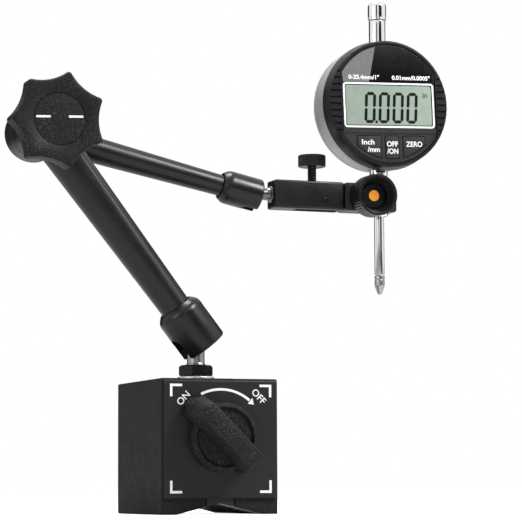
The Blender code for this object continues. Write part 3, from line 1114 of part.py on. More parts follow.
def seat_origin(stand):
    """Move the stand so that the origin is at its bounding box's bottom centre."""
    bpy.context.view_layer.update()
    graph = bpy.context.evaluated_depsgraph_get()
    corners = []
    for item in stand.pieces.objects:
        if item.type == "MESH":
            shown = item.evaluated_get(graph)
            corners += [shown.matrix_world @ Vector(corner) for corner in shown.bound_box]
    low = Vector([min(corner[i] for corner in corners) for i in range(3)])
    high = Vector([max(corner[i] for corner in corners) for i in range(3)])
    stand.root.location = (-(low.x + high.x) / 2, -(low.y + high.y) / 2, -low.z)
    bpy.context.view_layer.update()


def main():
    clear_scene()
    stand = Stand()
    looks = {
        "paint": finish("black textured paint", (0.020, 0.020, 0.021), 0.62),
        "spacer": finish("painted spacer", (0.030, 0.030, 0.031), 0.5),
        "plate": finish("dark grey plate", (0.045, 0.047, 0.050), 0.42),
        "oxide": finish("black oxide", (0.018, 0.018, 0.019), 0.38),
        "knob": finish("black plastic", (0.022, 0.022, 0.023), 0.48),
        "steel": finish("bright steel", (0.62, 0.62, 0.63), 0.25, 1),
        "ferrite": finish("ferrite", (0.06, 0.06, 0.065), 0.7),
        "gloss": finish("glossy black", (0.016, 0.016, 0.017), 0.28),
        "arm": finish("satin black arm", (0.022, 0.022, 0.024), 0.34),
        "brass": finish("brass", (0.60, 0.46, 0.20), 0.35, 1),
        "cap": finish("cap black", (0.012, 0.012, 0.013), 0.3),
        "alloy": finish("grey alloy", (0.36, 0.37, 0.38), 0.42, 1),
        "chrome": finish("chrome", (0.80, 0.80, 0.81), 0.1, 1),
        "carbide": finish("contact point steel", (0.48, 0.48, 0.49), 0.22, 1),
        "bezel": finish("bezel black", (0.018, 0.018, 0.020), 0.42),
        "panel": finish("panel black", (0.028, 0.029, 0.031), 0.4),
        "lcd": finish("display glass", (0.34, 0.42, 0.35), 0.2),
        "lcd_back": finish("display module", (0.25, 0.31, 0.26), 0.5),
        "key": finish("key rubber", (0.034, 0.035, 0.037), 0.55),
        "board": finish("circuit board", (0.03, 0.14, 0.07), 0.5),
    }
    base, _ = build_base(stand, looks)
    build_switch(stand, looks, base)
    lower_stud = build_lower_stud(stand, looks, base)
    lower_arm = build_lower_arm(stand, looks, lower_stud)
    upper_arm = build_upper_arm(stand, looks, lower_arm)
    build_hub_knob(stand, looks, upper_arm)
    upper_stud = build_upper_stud(stand, looks, upper_arm)
    lever = build_fine_adjuster(stand, looks, upper_stud)
    clamp = build_clamp(stand, looks, lever)
    body, stem_low = build_indicator_body(stand, looks, clamp)
    build_spindle(stand, looks, body, stem_low)
    build_display_head(stand, looks, body)
    seat_origin(stand)


main()
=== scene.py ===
import json
from math import acos, cos, pi, radians, sin, sqrt, tau

import bmesh
import bpy
import numpy as np
from bpy.props import FloatProperty, FloatVectorProperty, IntProperty, PointerProperty
from mathutils import Matrix, Vector


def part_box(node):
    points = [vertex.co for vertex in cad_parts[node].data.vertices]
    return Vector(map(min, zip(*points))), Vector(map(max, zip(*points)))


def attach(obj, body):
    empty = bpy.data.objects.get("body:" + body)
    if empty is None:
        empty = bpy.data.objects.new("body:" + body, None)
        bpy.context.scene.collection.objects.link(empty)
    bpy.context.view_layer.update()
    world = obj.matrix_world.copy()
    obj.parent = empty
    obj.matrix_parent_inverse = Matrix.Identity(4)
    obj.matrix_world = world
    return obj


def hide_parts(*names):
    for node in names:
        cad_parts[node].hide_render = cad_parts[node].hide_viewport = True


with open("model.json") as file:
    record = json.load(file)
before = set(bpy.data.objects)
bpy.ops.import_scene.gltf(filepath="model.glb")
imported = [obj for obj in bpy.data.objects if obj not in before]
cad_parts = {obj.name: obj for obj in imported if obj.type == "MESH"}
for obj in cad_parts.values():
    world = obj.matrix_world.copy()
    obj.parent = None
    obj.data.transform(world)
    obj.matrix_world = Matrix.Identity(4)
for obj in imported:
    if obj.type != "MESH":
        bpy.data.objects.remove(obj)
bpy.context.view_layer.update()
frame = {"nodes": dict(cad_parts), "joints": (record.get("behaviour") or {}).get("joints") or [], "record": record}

# Digital indicator on a jointed stand with a magnetic base: the visible surfaces, printed marks,
# finishes, light and camera. Seen from the front, which is -Y, with +X to the right and +Z up.
# Each surface is worked out about its own axis and then seated on the frame, in metres.

bl_info = {
    "name": "Digital indicator on a magnetic stand",
    "version": (1, 0, 0),
    "blender": (4, 5, 0),
    "location": "3D View > Sidebar > Stand",
    "description": "Builds the visible surfaces, finishes and studio of a jointed stand with its indicator",
    "category": "Mesh",
}

GAP = 0.0003         # clearance between two pieces
PRINT = 0.00006      # half the thickness of a printed mark
MERGE = 0.0000004    # points nearer than this become one
OVERRUN = 0.002      # how far a cut runs past its piece
EDGE_STEPS = 4       # points on a plate's rounded edge

# Left and right side of each key under the display, from the dial's middle
KEY_SPANS = {"button_units": (-0.0159, -0.0044), "button_power": (-0.0025, 0.0039), "button_zero": (0.0060, 0.0166)}


# Places taken from the frame

def place_of(joint):
    """Point on a joint's axis."""
    return next(Vector(item["pos_m"]) for item in frame["joints"] if item["name"] == joint)


def seat(origin, along, across):
    """Matrix whose Z runs along one direction and whose X is as near as it can be to another."""
    z = Vector(along).normalized()
    x = Vector(across) - z * Vector(across).dot(z)
    x.normalize()
    y = z.cross(x)
    turned = Matrix((x, y, z)).transposed().to_4x4()
    return Matrix.Translation(origin) @ turned


def facing(origin):
    """Seat whose Z points at the viewer, with X to the right and Y up."""
    return seat(origin, (0, -1, 0), (1, 0, 0))


def on_head(depth):
    """Seat on the turned display head, so far along -Y."""
    turn = bpy.context.scene.stand_sizes.head_turn
    return facing((DIAL.x, depth, DIAL.z)) @ Matrix.Rotation(turn, 4, "Z")


def backing(origin):
    """Seat whose Z points away from the viewer, with Y up."""
    return seat(origin, (0, 1, 0), (-1, 0, 0))


def upright(origin):
    """Seat whose Z points up."""
    return Matrix.Translation(origin)


SWITCH = place_of("switch_turn")
LOWER_BALL = place_of("lower_tilt")
KNOB_FOOT = place_of("hub_knob_turn")
HUB = Vector((KNOB_FOOT.x, LOWER_BALL.y, KNOB_FOOT.z))
UPPER_HUB = place_of("elbow")
UPPER_BALL = place_of("upper_tilt")
FINE_SCREW = place_of("fine_screw_turn")
FINE_PIN = place_of("fine_tilt")
CLAMP_FACE = place_of("clamp_knob_turn")
STEM = place_of("indicator_turn")
DIAL = place_of("display_turn")
BASE = Vector((SWITCH.x, SWITCH.y, 0))


# Surfaces

def rounded(points, radii, steps=5, closed=False):
    """Line whose corners become arcs. Each corner P turns into the rational quadratic curve
    ((1-t)^2 A + 2wt(1-t) P + t^2 B) / ((1-t)^2 + 2wt(1-t) + t^2), where A and B lie on the two sides
    at the arc's cut length and w is the sine of half the corner's angle."""
    points = np.asarray(points, float)
    radii = np.broadcast_to(np.asarray(radii, float), len(points))
    before = np.roll(points, 1, 0) - points
    after = np.roll(points, -1, 0) - points
    long_before = np.linalg.norm(before, axis=1)
    long_after = np.linalg.norm(after, axis=1)
    before /= long_before[:, None]
    after /= long_after[:, None]
    half = np.arccos(np.clip((before * after).sum(1), -1, 1)) / 2
    reach = radii / np.maximum(np.tan(half), 1e-6)
    reach = np.minimum(reach, 0.49 * np.minimum(long_before, long_after))
    start = points + before * reach[:, None]
    end = points + after * reach[:, None]
    weight = np.sin(half)[:, None, None]
    t = np.linspace(0, 1, steps)[None, :, None]
    over = (1 - t) ** 2 * start[:, None] + 2 * weight * t * (1 - t) * points[:, None] + t ** 2 * end[:, None]
    under = (1 - t) ** 2 + 2 * weight * t * (1 - t) + t ** 2
    arcs = over / under
    if closed:
        return arcs.reshape(-1, points.shape[1])
    return np.concatenate([points[:1], arcs[1:-1].reshape(-1, points.shape[1]), points[-1:]])


def skin(rows, columns, close_rows=False, close_columns=True):
    """Corner numbers of the squares between neighbouring rows and columns of a grid."""
    u = np.arange(rows if close_rows else rows - 1)[:, None]
    v = np.arange(columns if close_columns else columns - 1)[None, :]
    far = (u + 1) % rows
    side = (v + 1) % columns
    corners = [u * columns + v, u * columns + side, far * columns + side, far * columns + v]
    return np.stack(corners, -1).reshape(-1, 4).tolist()


def piece(name, points, faces, matrix, smooth=38):
    """Mesh object with its place in its mesh: doubles merged, faces outwards, sharp edges by angle."""
    mesh = bpy.data.meshes.new(name)
    mesh.from_pydata(np.asarray(points, float).reshape(-1, 3).tolist(), [], faces)
    mesh.transform(matrix)
    item = bpy.data.objects.new(name, mesh)
    bpy.context.scene.collection.objects.link(item)
    tidy(item, smooth)
    return item


def tidy(item, smooth=38):
    """Merge doubles, drop what has no area, point faces outwards and mark sharp edges by angle."""
    shape = bmesh.new()
    shape.from_mesh(item.data)
    bmesh.ops.remove_doubles(shape, verts=shape.verts, dist=MERGE)
    bmesh.ops.dissolve_degenerate(shape, edges=shape.edges, dist=MERGE)
    bmesh.ops.recalc_face_normals(shape, faces=shape.faces)
    shape.to_mesh(item.data)
    shape.free()
    item.data.shade_smooth()
    item.data.set_sharp_from_angle(angle=radians(smooth))


def turned(name, profile, matrix, segments=96, ripple=None, ring=False, smooth=38):
    """Surface of revolution: a profile of (radius r, height h) is carried round the axis as
    (r cos a, r sin a, h). A ripple(r, h, a) is added to the radius for ribs, threads and flats."""
    profile = np.asarray(profile, float)
    angle = np.linspace(0, tau, segments, endpoint=False)[None, :]
    radius = np.repeat(profile[:, :1], segments, 1)
    height = np.repeat(profile[:, 1:], segments, 1)
    if ripple is not None:
        radius = np.maximum(radius + ripple(radius, height, angle), 0)
    grid = np.stack([radius * np.cos(angle), radius * np.sin(angle), height], -1)
    faces = skin(len(profile), segments, close_rows=ring)
    return piece(name, grid, faces, matrix, smooth)


def cylinder(name, radius, low, high, matrix, segments=64):
    """Round bar between two heights on its axis, as a tool for a bore or a drum."""
    return turned(name, [(0, low), (radius, low), (radius, high), (0, high)], matrix, segments)


def lofted(name, rings, matrix, smooth=38):
    """Skin over rings with as many points each, closed by a face at both ends."""
    rings = np.asarray(rings, float)
    rows, columns = rings.shape[:2]
    faces = skin(rows, columns)
    faces.append(list(range(columns))[::-1])
    faces.append(list(range((rows - 1) * columns, rows * columns)))
    return piece(name, rings, faces, matrix, smooth)


def inset(outline, distance):
    """Closed outline moved inwards: each corner goes along the sum of its two sides' normals,
    divided by one plus their dot product, so that both sides move by the same distance."""
    outline = np.asarray(outline, float)
    side = np.roll(outline, -1, 0) - outline
    side /= np.maximum(np.linalg.norm(side, axis=1), 1e-12)[:, None]
    area = np.sum(outline[:, 0] * np.roll(outline[:, 1], -1) - np.roll(outline[:, 0], -1) * outline[:, 1])
    normal = np.stack([-side[:, 1], side[:, 0]], 1) * np.sign(area)
    last = np.roll(normal, 1, 0)
    share = 1 + (normal * last).sum(1)
    return outline + (normal + last) / np.maximum(share, 0.3)[:, None] * distance


def slab(name, outline, low, high, matrix, edge=0.0):
    """Flat plate between two heights. Its upper edge is a quarter round: at the angle a the outline
    is inset by edge (1 - cos a) and raised to high - edge (1 - sin a)."""
    outline = np.asarray(outline, float)
    if edge:
        angles = np.linspace(0, pi / 2, EDGE_STEPS)
        levels = [(0, low)] + [(edge * (1 - cos(a)), high - edge * (1 - sin(a))) for a in angles]
    else:
        levels = [(0, low), (0, high)]
    rings = [np.column_stack([inset(outline, d), np.full(len(outline), h)]) for d, h in levels]
    return lofted(name, rings, matrix)


def strip(name, path, width, low, high, matrix, closed=False):
    """Band of one width along a flat path. Its edges lie half a width to both sides along the mean
    of the neighbouring normals, lengthened at corners by one over the cosine of half the turn."""
    path = np.asarray(path, float)
    ahead = np.roll(path, -1, 0) - path
    behind = path - np.roll(path, 1, 0)
    if not closed:
        ahead[-1], behind[0] = behind[-1], ahead[0]
    ahead /= np.linalg.norm(ahead, axis=1)[:, None]
    behind /= np.linalg.norm(behind, axis=1)[:, None]
    first = np.stack([-behind[:, 1], behind[:, 0]], 1)
    second = np.stack([-ahead[:, 1], ahead[:, 0]], 1)
    shift = (first + second) / (1 + (first * second).sum(1))[:, None] * width / 2
    left, right = path + shift, path - shift
    count = len(path)
    corners = ((left, low), (left, high), (right, high), (right, low))
    grid = np.stack([np.column_stack([line, np.full(count, height)]) for line, height in corners], 1)
    faces = skin(count, 4, close_rows=closed)
    if not closed:
        faces += [[3, 2, 1, 0], [4 * count - 4, 4 * count - 3, 4 * count - 2, 4 * count - 1]]
    return piece(name, grid, faces, matrix)


def prisms(name, outlines, low, high, matrix):
    """Many flat plates with as many corners each, as one mesh."""
    outlines = np.asarray(outlines, float)
    count, corners = outlines.shape[:2]
    levels = [np.concatenate([outlines, np.full((count, corners, 1), level)], 2) for level in (low, high)]
    points = np.stack(levels, 1).reshape(-1, 3)
    first = (np.arange(count) * 2 * corners)[:, None]
    ring = np.arange(corners)[None, :]
    after = (ring + 1) % corners
    sides = np.stack([first + ring, first + after, first + corners + after, first + corners + ring], -1)
    faces = sides.reshape(-1, 4).tolist() + (first + ring[:, ::-1]).tolist() + (first + corners + ring).tolist()
    return piece(name, points, faces, matrix)


def blocks(name, centres, size, matrix):
    """Boxes of one size at many places, as one mesh."""
    unit = np.array([(-1, -1, -1), (1, -1, -1), (1, 1, -1), (-1, 1, -1),
                     (-1, -1, 1), (1, -1, 1), (1, 1, 1), (-1, 1, 1)], float) / 2
    points = np.asarray(centres, float)[:, None, :] + unit[None] * np.asarray(size, float)
    faces = np.array([(3, 2, 1, 0), (4, 5, 6, 7), (0, 1, 5, 4), (1, 2, 6, 5), (2, 3, 7, 6), (3, 0, 4, 7)])
    faces = faces[None] + 8 * np.arange(len(points))[:, None, None]
    return piece(name, points, faces.reshape(-1, 4).tolist(), matrix)


def arc(radius, start, end, steps=32):
    """Points on a circle about the origin, from one angle to another."""
    angle = np.linspace(start, end, steps)
    return np.column_stack([radius * np.cos(angle), radius * np.sin(angle)])


def window(width, height, corner, middle=(0, 0)):
    """Rectangle with round corners about a middle."""
    box = np.array([(1, 1), (-1, 1), (-1, -1), (1, -1)]) * (width / 2, height / 2) + middle
    return rounded(box, corner, 8, closed=True)


def bake(item, smooth=38):
    """Turn an item's modifiers into its mesh."""
    bpy.context.view_layer.update()
    shown = item.evaluated_get(bpy.context.evaluated_depsgraph_get())
    mesh = bpy.data.meshes.new_from_object(shown)
    item.modifiers.clear()
    item.data = mesh
    tidy(item, smooth)
    return item


def carve(item, *tools, operation="DIFFERENCE", smooth=38):
    """Cut, join or trim an item with helper objects, which are then removed."""
    for tool in tools:
        step = item.modifiers.new("Carve", "BOOLEAN")
        step.operation = operation
        step.solver = "EXACT"
        step.object = tool
    bake(item, smooth)
    for tool in tools:
        bpy.data.objects.remove(tool)
    if len(item.data.polygons) < 8:
        raise RuntimeError(f"{item.name} came out of its cut empty")
    return item


def soften(item, width, segments=3):
    """Round an item's sharp edges."""
    step = item.modifiers.new("Edges", "BEVEL")
    step.width = width
    step.segments = segments
    step.limit_method = "ANGLE"
    step.angle_limit = radians(35)
    return bake(item)


def lettering(name, text, capital, middle, matrix, look, body, width=0.0, turn=0.0, weight=0.0):
    """Raised words: the flat outlines of the built-in font, scaled to a capital height, then turned
    about their middle and seated. A width stretches the line to fit."""
    def outline(words, raise_by):
        curve = bpy.data.curves.new(name, "FONT")
        curve.body = words
        curve.align_x = "CENTER"
        curve.resolution_u = 5
        curve.extrude = raise_by
        curve.offset = weight
        drawn = bpy.data.objects.new(name, curve)
        bpy.context.scene.collection.objects.link(drawn)
        bpy.context.view_layer.update()
        mesh = bpy.data.meshes.new_from_object(drawn.evaluated_get(bpy.context.evaluated_depsgraph_get()))
        bpy.data.objects.remove(drawn)
        points = np.zeros(len(mesh.vertices) * 3)
        mesh.vertices.foreach_get("co", points)
        return mesh, points.reshape(-1, 3)

    _, letter = outline("H", 0)
    scale = capital / np.ptp(letter[:, 1])
    mesh, points = outline(text, PRINT / scale)
    stretch = width / (np.ptp(points[:, 0]) * scale) if width else 1
    centre = (points.min(0) + points.max(0)) / 2
    points = (points - (centre[0], np.ptp(letter[:, 1]) / 2, 0)) * (scale * stretch, scale, scale)
    mesh.vertices.foreach_set("co", points.ravel())
    mesh.transform(matrix @ Matrix.Translation((*middle, 0)) @ Matrix.Rotation(turn, 4, "Z"))
    item = bpy.data.objects.new(name, mesh)
    bpy.context.scene.collection.objects.link(item)
    shape = bmesh.new()
    shape.from_mesh(mesh)
    bmesh.ops.remove_doubles(shape, verts=shape.verts, dist=MERGE)
    bmesh.ops.recalc_face_normals(shape, faces=shape.faces)
    shape.to_mesh(mesh)
    shape.free()
    return dress(item, look, body)


def dress(item, look, body, *replaced, slot=None):
    """Give a piece its finish, the body it rides on, and the nodes it stands for."""
    item.data.materials.clear()
    item.data.materials.append(bpy.data.materials[look])
    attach(item, body)
    if replaced:
        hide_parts(*replaced)
    return item


# Finishes

def effect(name, values, results):
    """Empty node group that takes a vector and named values, and gives named results."""
    group = bpy.data.node_groups.new(name, "ShaderNodeTree")
    group.interface.new_socket("Vector", in_out="INPUT", socket_type="NodeSocketVector")
    for label, value in values.items():
        group.interface.new_socket(label, in_out="INPUT", socket_type="NodeSocketFloat").default_value = value
    for label in results:
        group.interface.new_socket(label, in_out="OUTPUT", socket_type="NodeSocketFloat")
    return group, group.nodes.new("NodeGroupInput"), group.nodes.new("NodeGroupOutput")


def noise(tree, vector, scale, detail, roughness=0.5):
    """Noise at a scale that is a number or a socket."""
    node = tree.nodes.new("ShaderNodeTexNoise")
    node.inputs["Detail"].default_value = detail
    node.inputs["Roughness"].default_value = roughness
    tree.links.new(vector, node.inputs["Vector"])
    if isinstance(scale, (int, float)):
        node.inputs["Scale"].default_value = scale
    else:
        tree.links.new(scale, node.inputs["Scale"])
    return node.outputs["Fac"]


def remap(tree, value, low, high, to_low=0.0, to_high=1.0):
    """Value carried smoothly from one range to another."""
    node = tree.nodes.new("ShaderNodeMapRange")
    node.interpolation_type = "SMOOTHSTEP"
    for label, number in (("From Min", low), ("From Max", high), ("To Min", to_low), ("To Max", to_high)):
        if isinstance(number, (int, float)):
            node.inputs[label].default_value = number
        else:
            tree.links.new(number, node.inputs[label])
    tree.links.new(value, node.inputs["Value"])
    return node.outputs["Result"]


def combine(tree, operation, first, second):
    """Two numbers or sockets joined by one operation."""
    node = tree.nodes.new("ShaderNodeMath")
    node.operation = operation
    for socket, value in zip(node.inputs, (first, second)):
        if isinstance(value, (int, float)):
            socket.default_value = value
        else:
            tree.links.new(value, socket)
    return node.outputs[0]


def make_effects():
    """Shared effects: moulded grain, light specks, handling smudges and lathe lines."""
    group, given, out = effect("Moulded grain", {"Scale": 2500.0, "Coarse share": 0.4}, ("Mask", "Height"))
    fine = noise(group, given.outputs["Vector"], given.outputs["Scale"], 3, 0.6)
    wide = combine(group, "MULTIPLY", given.outputs["Scale"], 0.28)
    coarse = noise(group, given.outputs["Vector"], wide, 2)
    share = combine(group, "MULTIPLY", coarse, given.outputs["Coarse share"])
    height = combine(group, "ADD", fine, share)
    group.links.new(height, out.inputs["Height"])
    group.links.new(remap(group, height, 0.5, 0.95), out.inputs["Mask"])

    group, given, out = effect("Light specks", {"Scale": 3000.0, "Amount": 0.5}, ("Mask",))
    fine = noise(group, given.outputs["Vector"], given.outputs["Scale"], 1)
    low = combine(group, "SUBTRACT", 0.72, combine(group, "MULTIPLY", given.outputs["Amount"], 0.2))
    mask = remap(group, fine, low, combine(group, "ADD", low, 0.1))
    patch = noise(group, given.outputs["Vector"], 140.0, 2)
    group.links.new(combine(group, "MULTIPLY", mask, remap(group, patch, 0.3, 0.7, 0.25, 1.0)), out.inputs["Mask"])

    group, given, out = effect("Handling smudges", {"Scale": 90.0}, ("Mask",))
    wide = noise(group, given.outputs["Vector"], given.outputs["Scale"], 4, 0.6)
    wiped = group.nodes.new("ShaderNodeMapping")
    wiped.inputs["Scale"].default_value = (1, 0.35, 2.6)
    wiped.inputs["Rotation"].default_value = (0.4, 0.7, 0.2)
    group.links.new(given.outputs["Vector"], wiped.inputs["Vector"])
    streak = noise(group, wiped.outputs["Vector"], combine(group, "MULTIPLY", given.outputs["Scale"], 4), 3)
    both = combine(group, "ADD", combine(group, "MULTIPLY", wide, 0.7), combine(group, "MULTIPLY", streak, 0.3))
    group.links.new(remap(group, both, 0.35, 0.65), out.inputs["Mask"])

    group, given, out = effect("Lathe lines", {"Scale": 60.0}, ("Mask", "Height"))
    lines = group.nodes.new("ShaderNodeMapping")
    lines.inputs["Scale"].default_value = (1, 1, 90)
    group.links.new(given.outputs["Vector"], lines.inputs["Vector"])
    ridge = noise(group, lines.outputs["Vector"], given.outputs["Scale"], 4, 0.7)
    group.links.new(ridge, out.inputs["Height"])
    group.links.new(remap(group, ridge, 0.35, 0.65), out.inputs["Mask"])


def placed(tree, name, vector, **values):
    """One shared effect, set in a material with its own values."""
    node = tree.nodes.new("ShaderNodeGroup")
    node.node_tree = bpy.data.node_groups[name]
    node.label = name
    tree.links.new(vector, node.inputs["Vector"])
    for label, value in values.items():
        node.inputs[label.replace("_", " ")].default_value = value
    return node.outputs


def tint(tree, first, second, mask):
    """Colour between two sockets or colours, by a mask."""
    node = tree.nodes.new("ShaderNodeMix")
    node.data_type = "RGBA"
    for label, value in (("A", first), ("B", second)):
        socket = next(s for s in node.inputs if s.name == label and s.type == "RGBA")
        if isinstance(value, tuple):
            socket.default_value = (*value, 1)
        else:
            tree.links.new(value, socket)
    tree.links.new(mask, node.inputs["Factor"])
    return next(s for s in node.outputs if s.type == "RGBA")


def scaled(colour, share):
    """Colour made brighter or darker by a share."""
    return tuple(min(channel * share, 1.0) for channel in colour)


def finish(name, colour, roughness, metallic=0.0, grain=2500.0, depth=0.0, mottle=0.12, smudge=0.06,
           specks=0.0, speck_scale=3000.0, speck_tint=2.6, lathe=None, turn=(0, 0, 0), specular=0.5,
           coarse=0.4):
    """Material: one base colour that grain, specks and smudges vary, with grain or lathe lines as bump."""
    look = bpy.data.materials.new(name)
    look.use_nodes = True
    tree = look.node_tree
    shader = tree.nodes["Principled BSDF"]
    shader.inputs["Metallic"].default_value = metallic
    shader.inputs["Specular IOR Level"].default_value = specular
    spot = tree.nodes.new("ShaderNodeTexCoord").outputs["Object"]
    turning = tree.nodes.new("ShaderNodeMapping")
    turning.inputs["Rotation"].default_value = turn
    tree.links.new(spot, turning.inputs["Vector"])
    spot = turning.outputs["Vector"]
    surface = placed(tree, "Moulded grain", spot, Scale=grain, Coarse_share=coarse)
    shade = tint(tree, scaled(colour, 1 - mottle), scaled(colour, 1 + mottle), surface["Mask"])
    height = surface["Height"]
    if lathe:
        lines = placed(tree, "Lathe lines", spot, Scale=lathe)
        shade = tint(tree, shade, scaled(colour, 1 - 2 * mottle), lines["Mask"])
        height = lines["Height"]
    if specks:
        bright = placed(tree, "Light specks", spot, Scale=speck_scale, Amount=specks)
        shade = tint(tree, shade, scaled(colour, speck_tint), bright["Mask"])
    tree.links.new(shade, shader.inputs["Base Color"])
    wiped = placed(tree, "Handling smudges", spot, Scale=90.0)
    tree.links.new(remap(tree, wiped["Mask"], 0.0, 1.0, max(roughness - smudge, 0.02), min(roughness + smudge, 1.0)),
                   shader.inputs["Roughness"])
    if depth:
        relief = tree.nodes.new("ShaderNodeBump")
        relief.inputs["Strength"].default_value = 1.0
        relief.inputs["Distance"].default_value = depth
        tree.links.new(height, relief.inputs["Height"])
        tree.links.new(relief.outputs["Normal"], shader.inputs["Normal"])
    look.diffuse_color = (*colour, 1)
    return look


# Seeing and changing the stand in Blender

class StandSizes(bpy.types.PropertyGroup):
    """Sizes of the details that the frame leaves open."""

    knurl_ribs: IntProperty(name="Clamp knob ribs", description="Straight ribs round the clamp knob", default=44,
                            min=12)
    knurl_depth: FloatProperty(name="Rib depth", description="How deep the ribs of the clamp knob are",
                               default=0.00030, unit="LENGTH", precision=5)
    screw_ribs: IntProperty(name="Thumb screw ribs", description="Ribs round the thumb screw's head", default=38,
                            min=12)
    thread_pitch: FloatProperty(name="Thread pitch", description="Pitch of the thumb screw", default=0.0007,
                                unit="LENGTH", precision=5)
    knob_hollow: FloatProperty(name="Knob hollows", description="Radius of the hollows between the star knob's lobes",
                               default=0.0210, unit="LENGTH", precision=5)
    digit_height: FloatProperty(name="Digit height", description="Height of the display's digits", default=0.0138,
                                unit="LENGTH", precision=5)
    digit_width: FloatProperty(name="Digit width", description="Width of one digit", default=0.0053, unit="LENGTH",
                               precision=5)
    digit_pitch: FloatProperty(name="Digit pitch", description="From one digit to the next", default=0.0067,
                               unit="LENGTH", precision=5)
    digit_stroke: FloatProperty(name="Digit stroke", description="Width of a digit's bars", default=0.0014,
                                unit="LENGTH", precision=5)
    head_turn: FloatProperty(name="Head turn", description="How far the display head is turned on its body",
                             default=radians(2.2), unit="ROTATION")
    mark_line: FloatProperty(name="Mark line", description="Width of the plate's printed lines", default=0.0010,
                             unit="LENGTH", precision=5)


class StandColours(bpy.types.PropertyGroup):
    """Colours of the finishes."""

    paint: FloatVectorProperty(name="Base paint", description="Rough paint of the base", subtype="COLOR",
                               default=(0.011, 0.011, 0.012))
    plate: FloatVectorProperty(name="Front plate", description="Satin front plate", subtype="COLOR",
                               default=(0.020, 0.020, 0.021))
    knob: FloatVectorProperty(name="Knobs", description="Moulded knobs", subtype="COLOR",
                              default=(0.011, 0.011, 0.0115))
    arm: FloatVectorProperty(name="Arms", description="Satin arms and blocks", subtype="COLOR",
                             default=(0.008, 0.008, 0.009))
    bezel: FloatVectorProperty(name="Bezel", description="Bezel and panel of the dial", subtype="COLOR",
                               default=(0.009, 0.009, 0.010))
    body: FloatVectorProperty(name="Dial body", description="Grey metal body", subtype="COLOR",
                              default=(0.40, 0.41, 0.42))
    display: FloatVectorProperty(name="Display", description="Ground of the display", subtype="COLOR",
                                 default=(0.275, 0.335, 0.285))
    ink: FloatVectorProperty(name="Printed marks", description="White marks and words", subtype="COLOR",
                             default=(0.84, 0.84, 0.84))
    dot: FloatVectorProperty(name="Dot", description="Dot on the clamp knob's cap", subtype="COLOR",
                             default=(0.80, 0.30, 0.03))


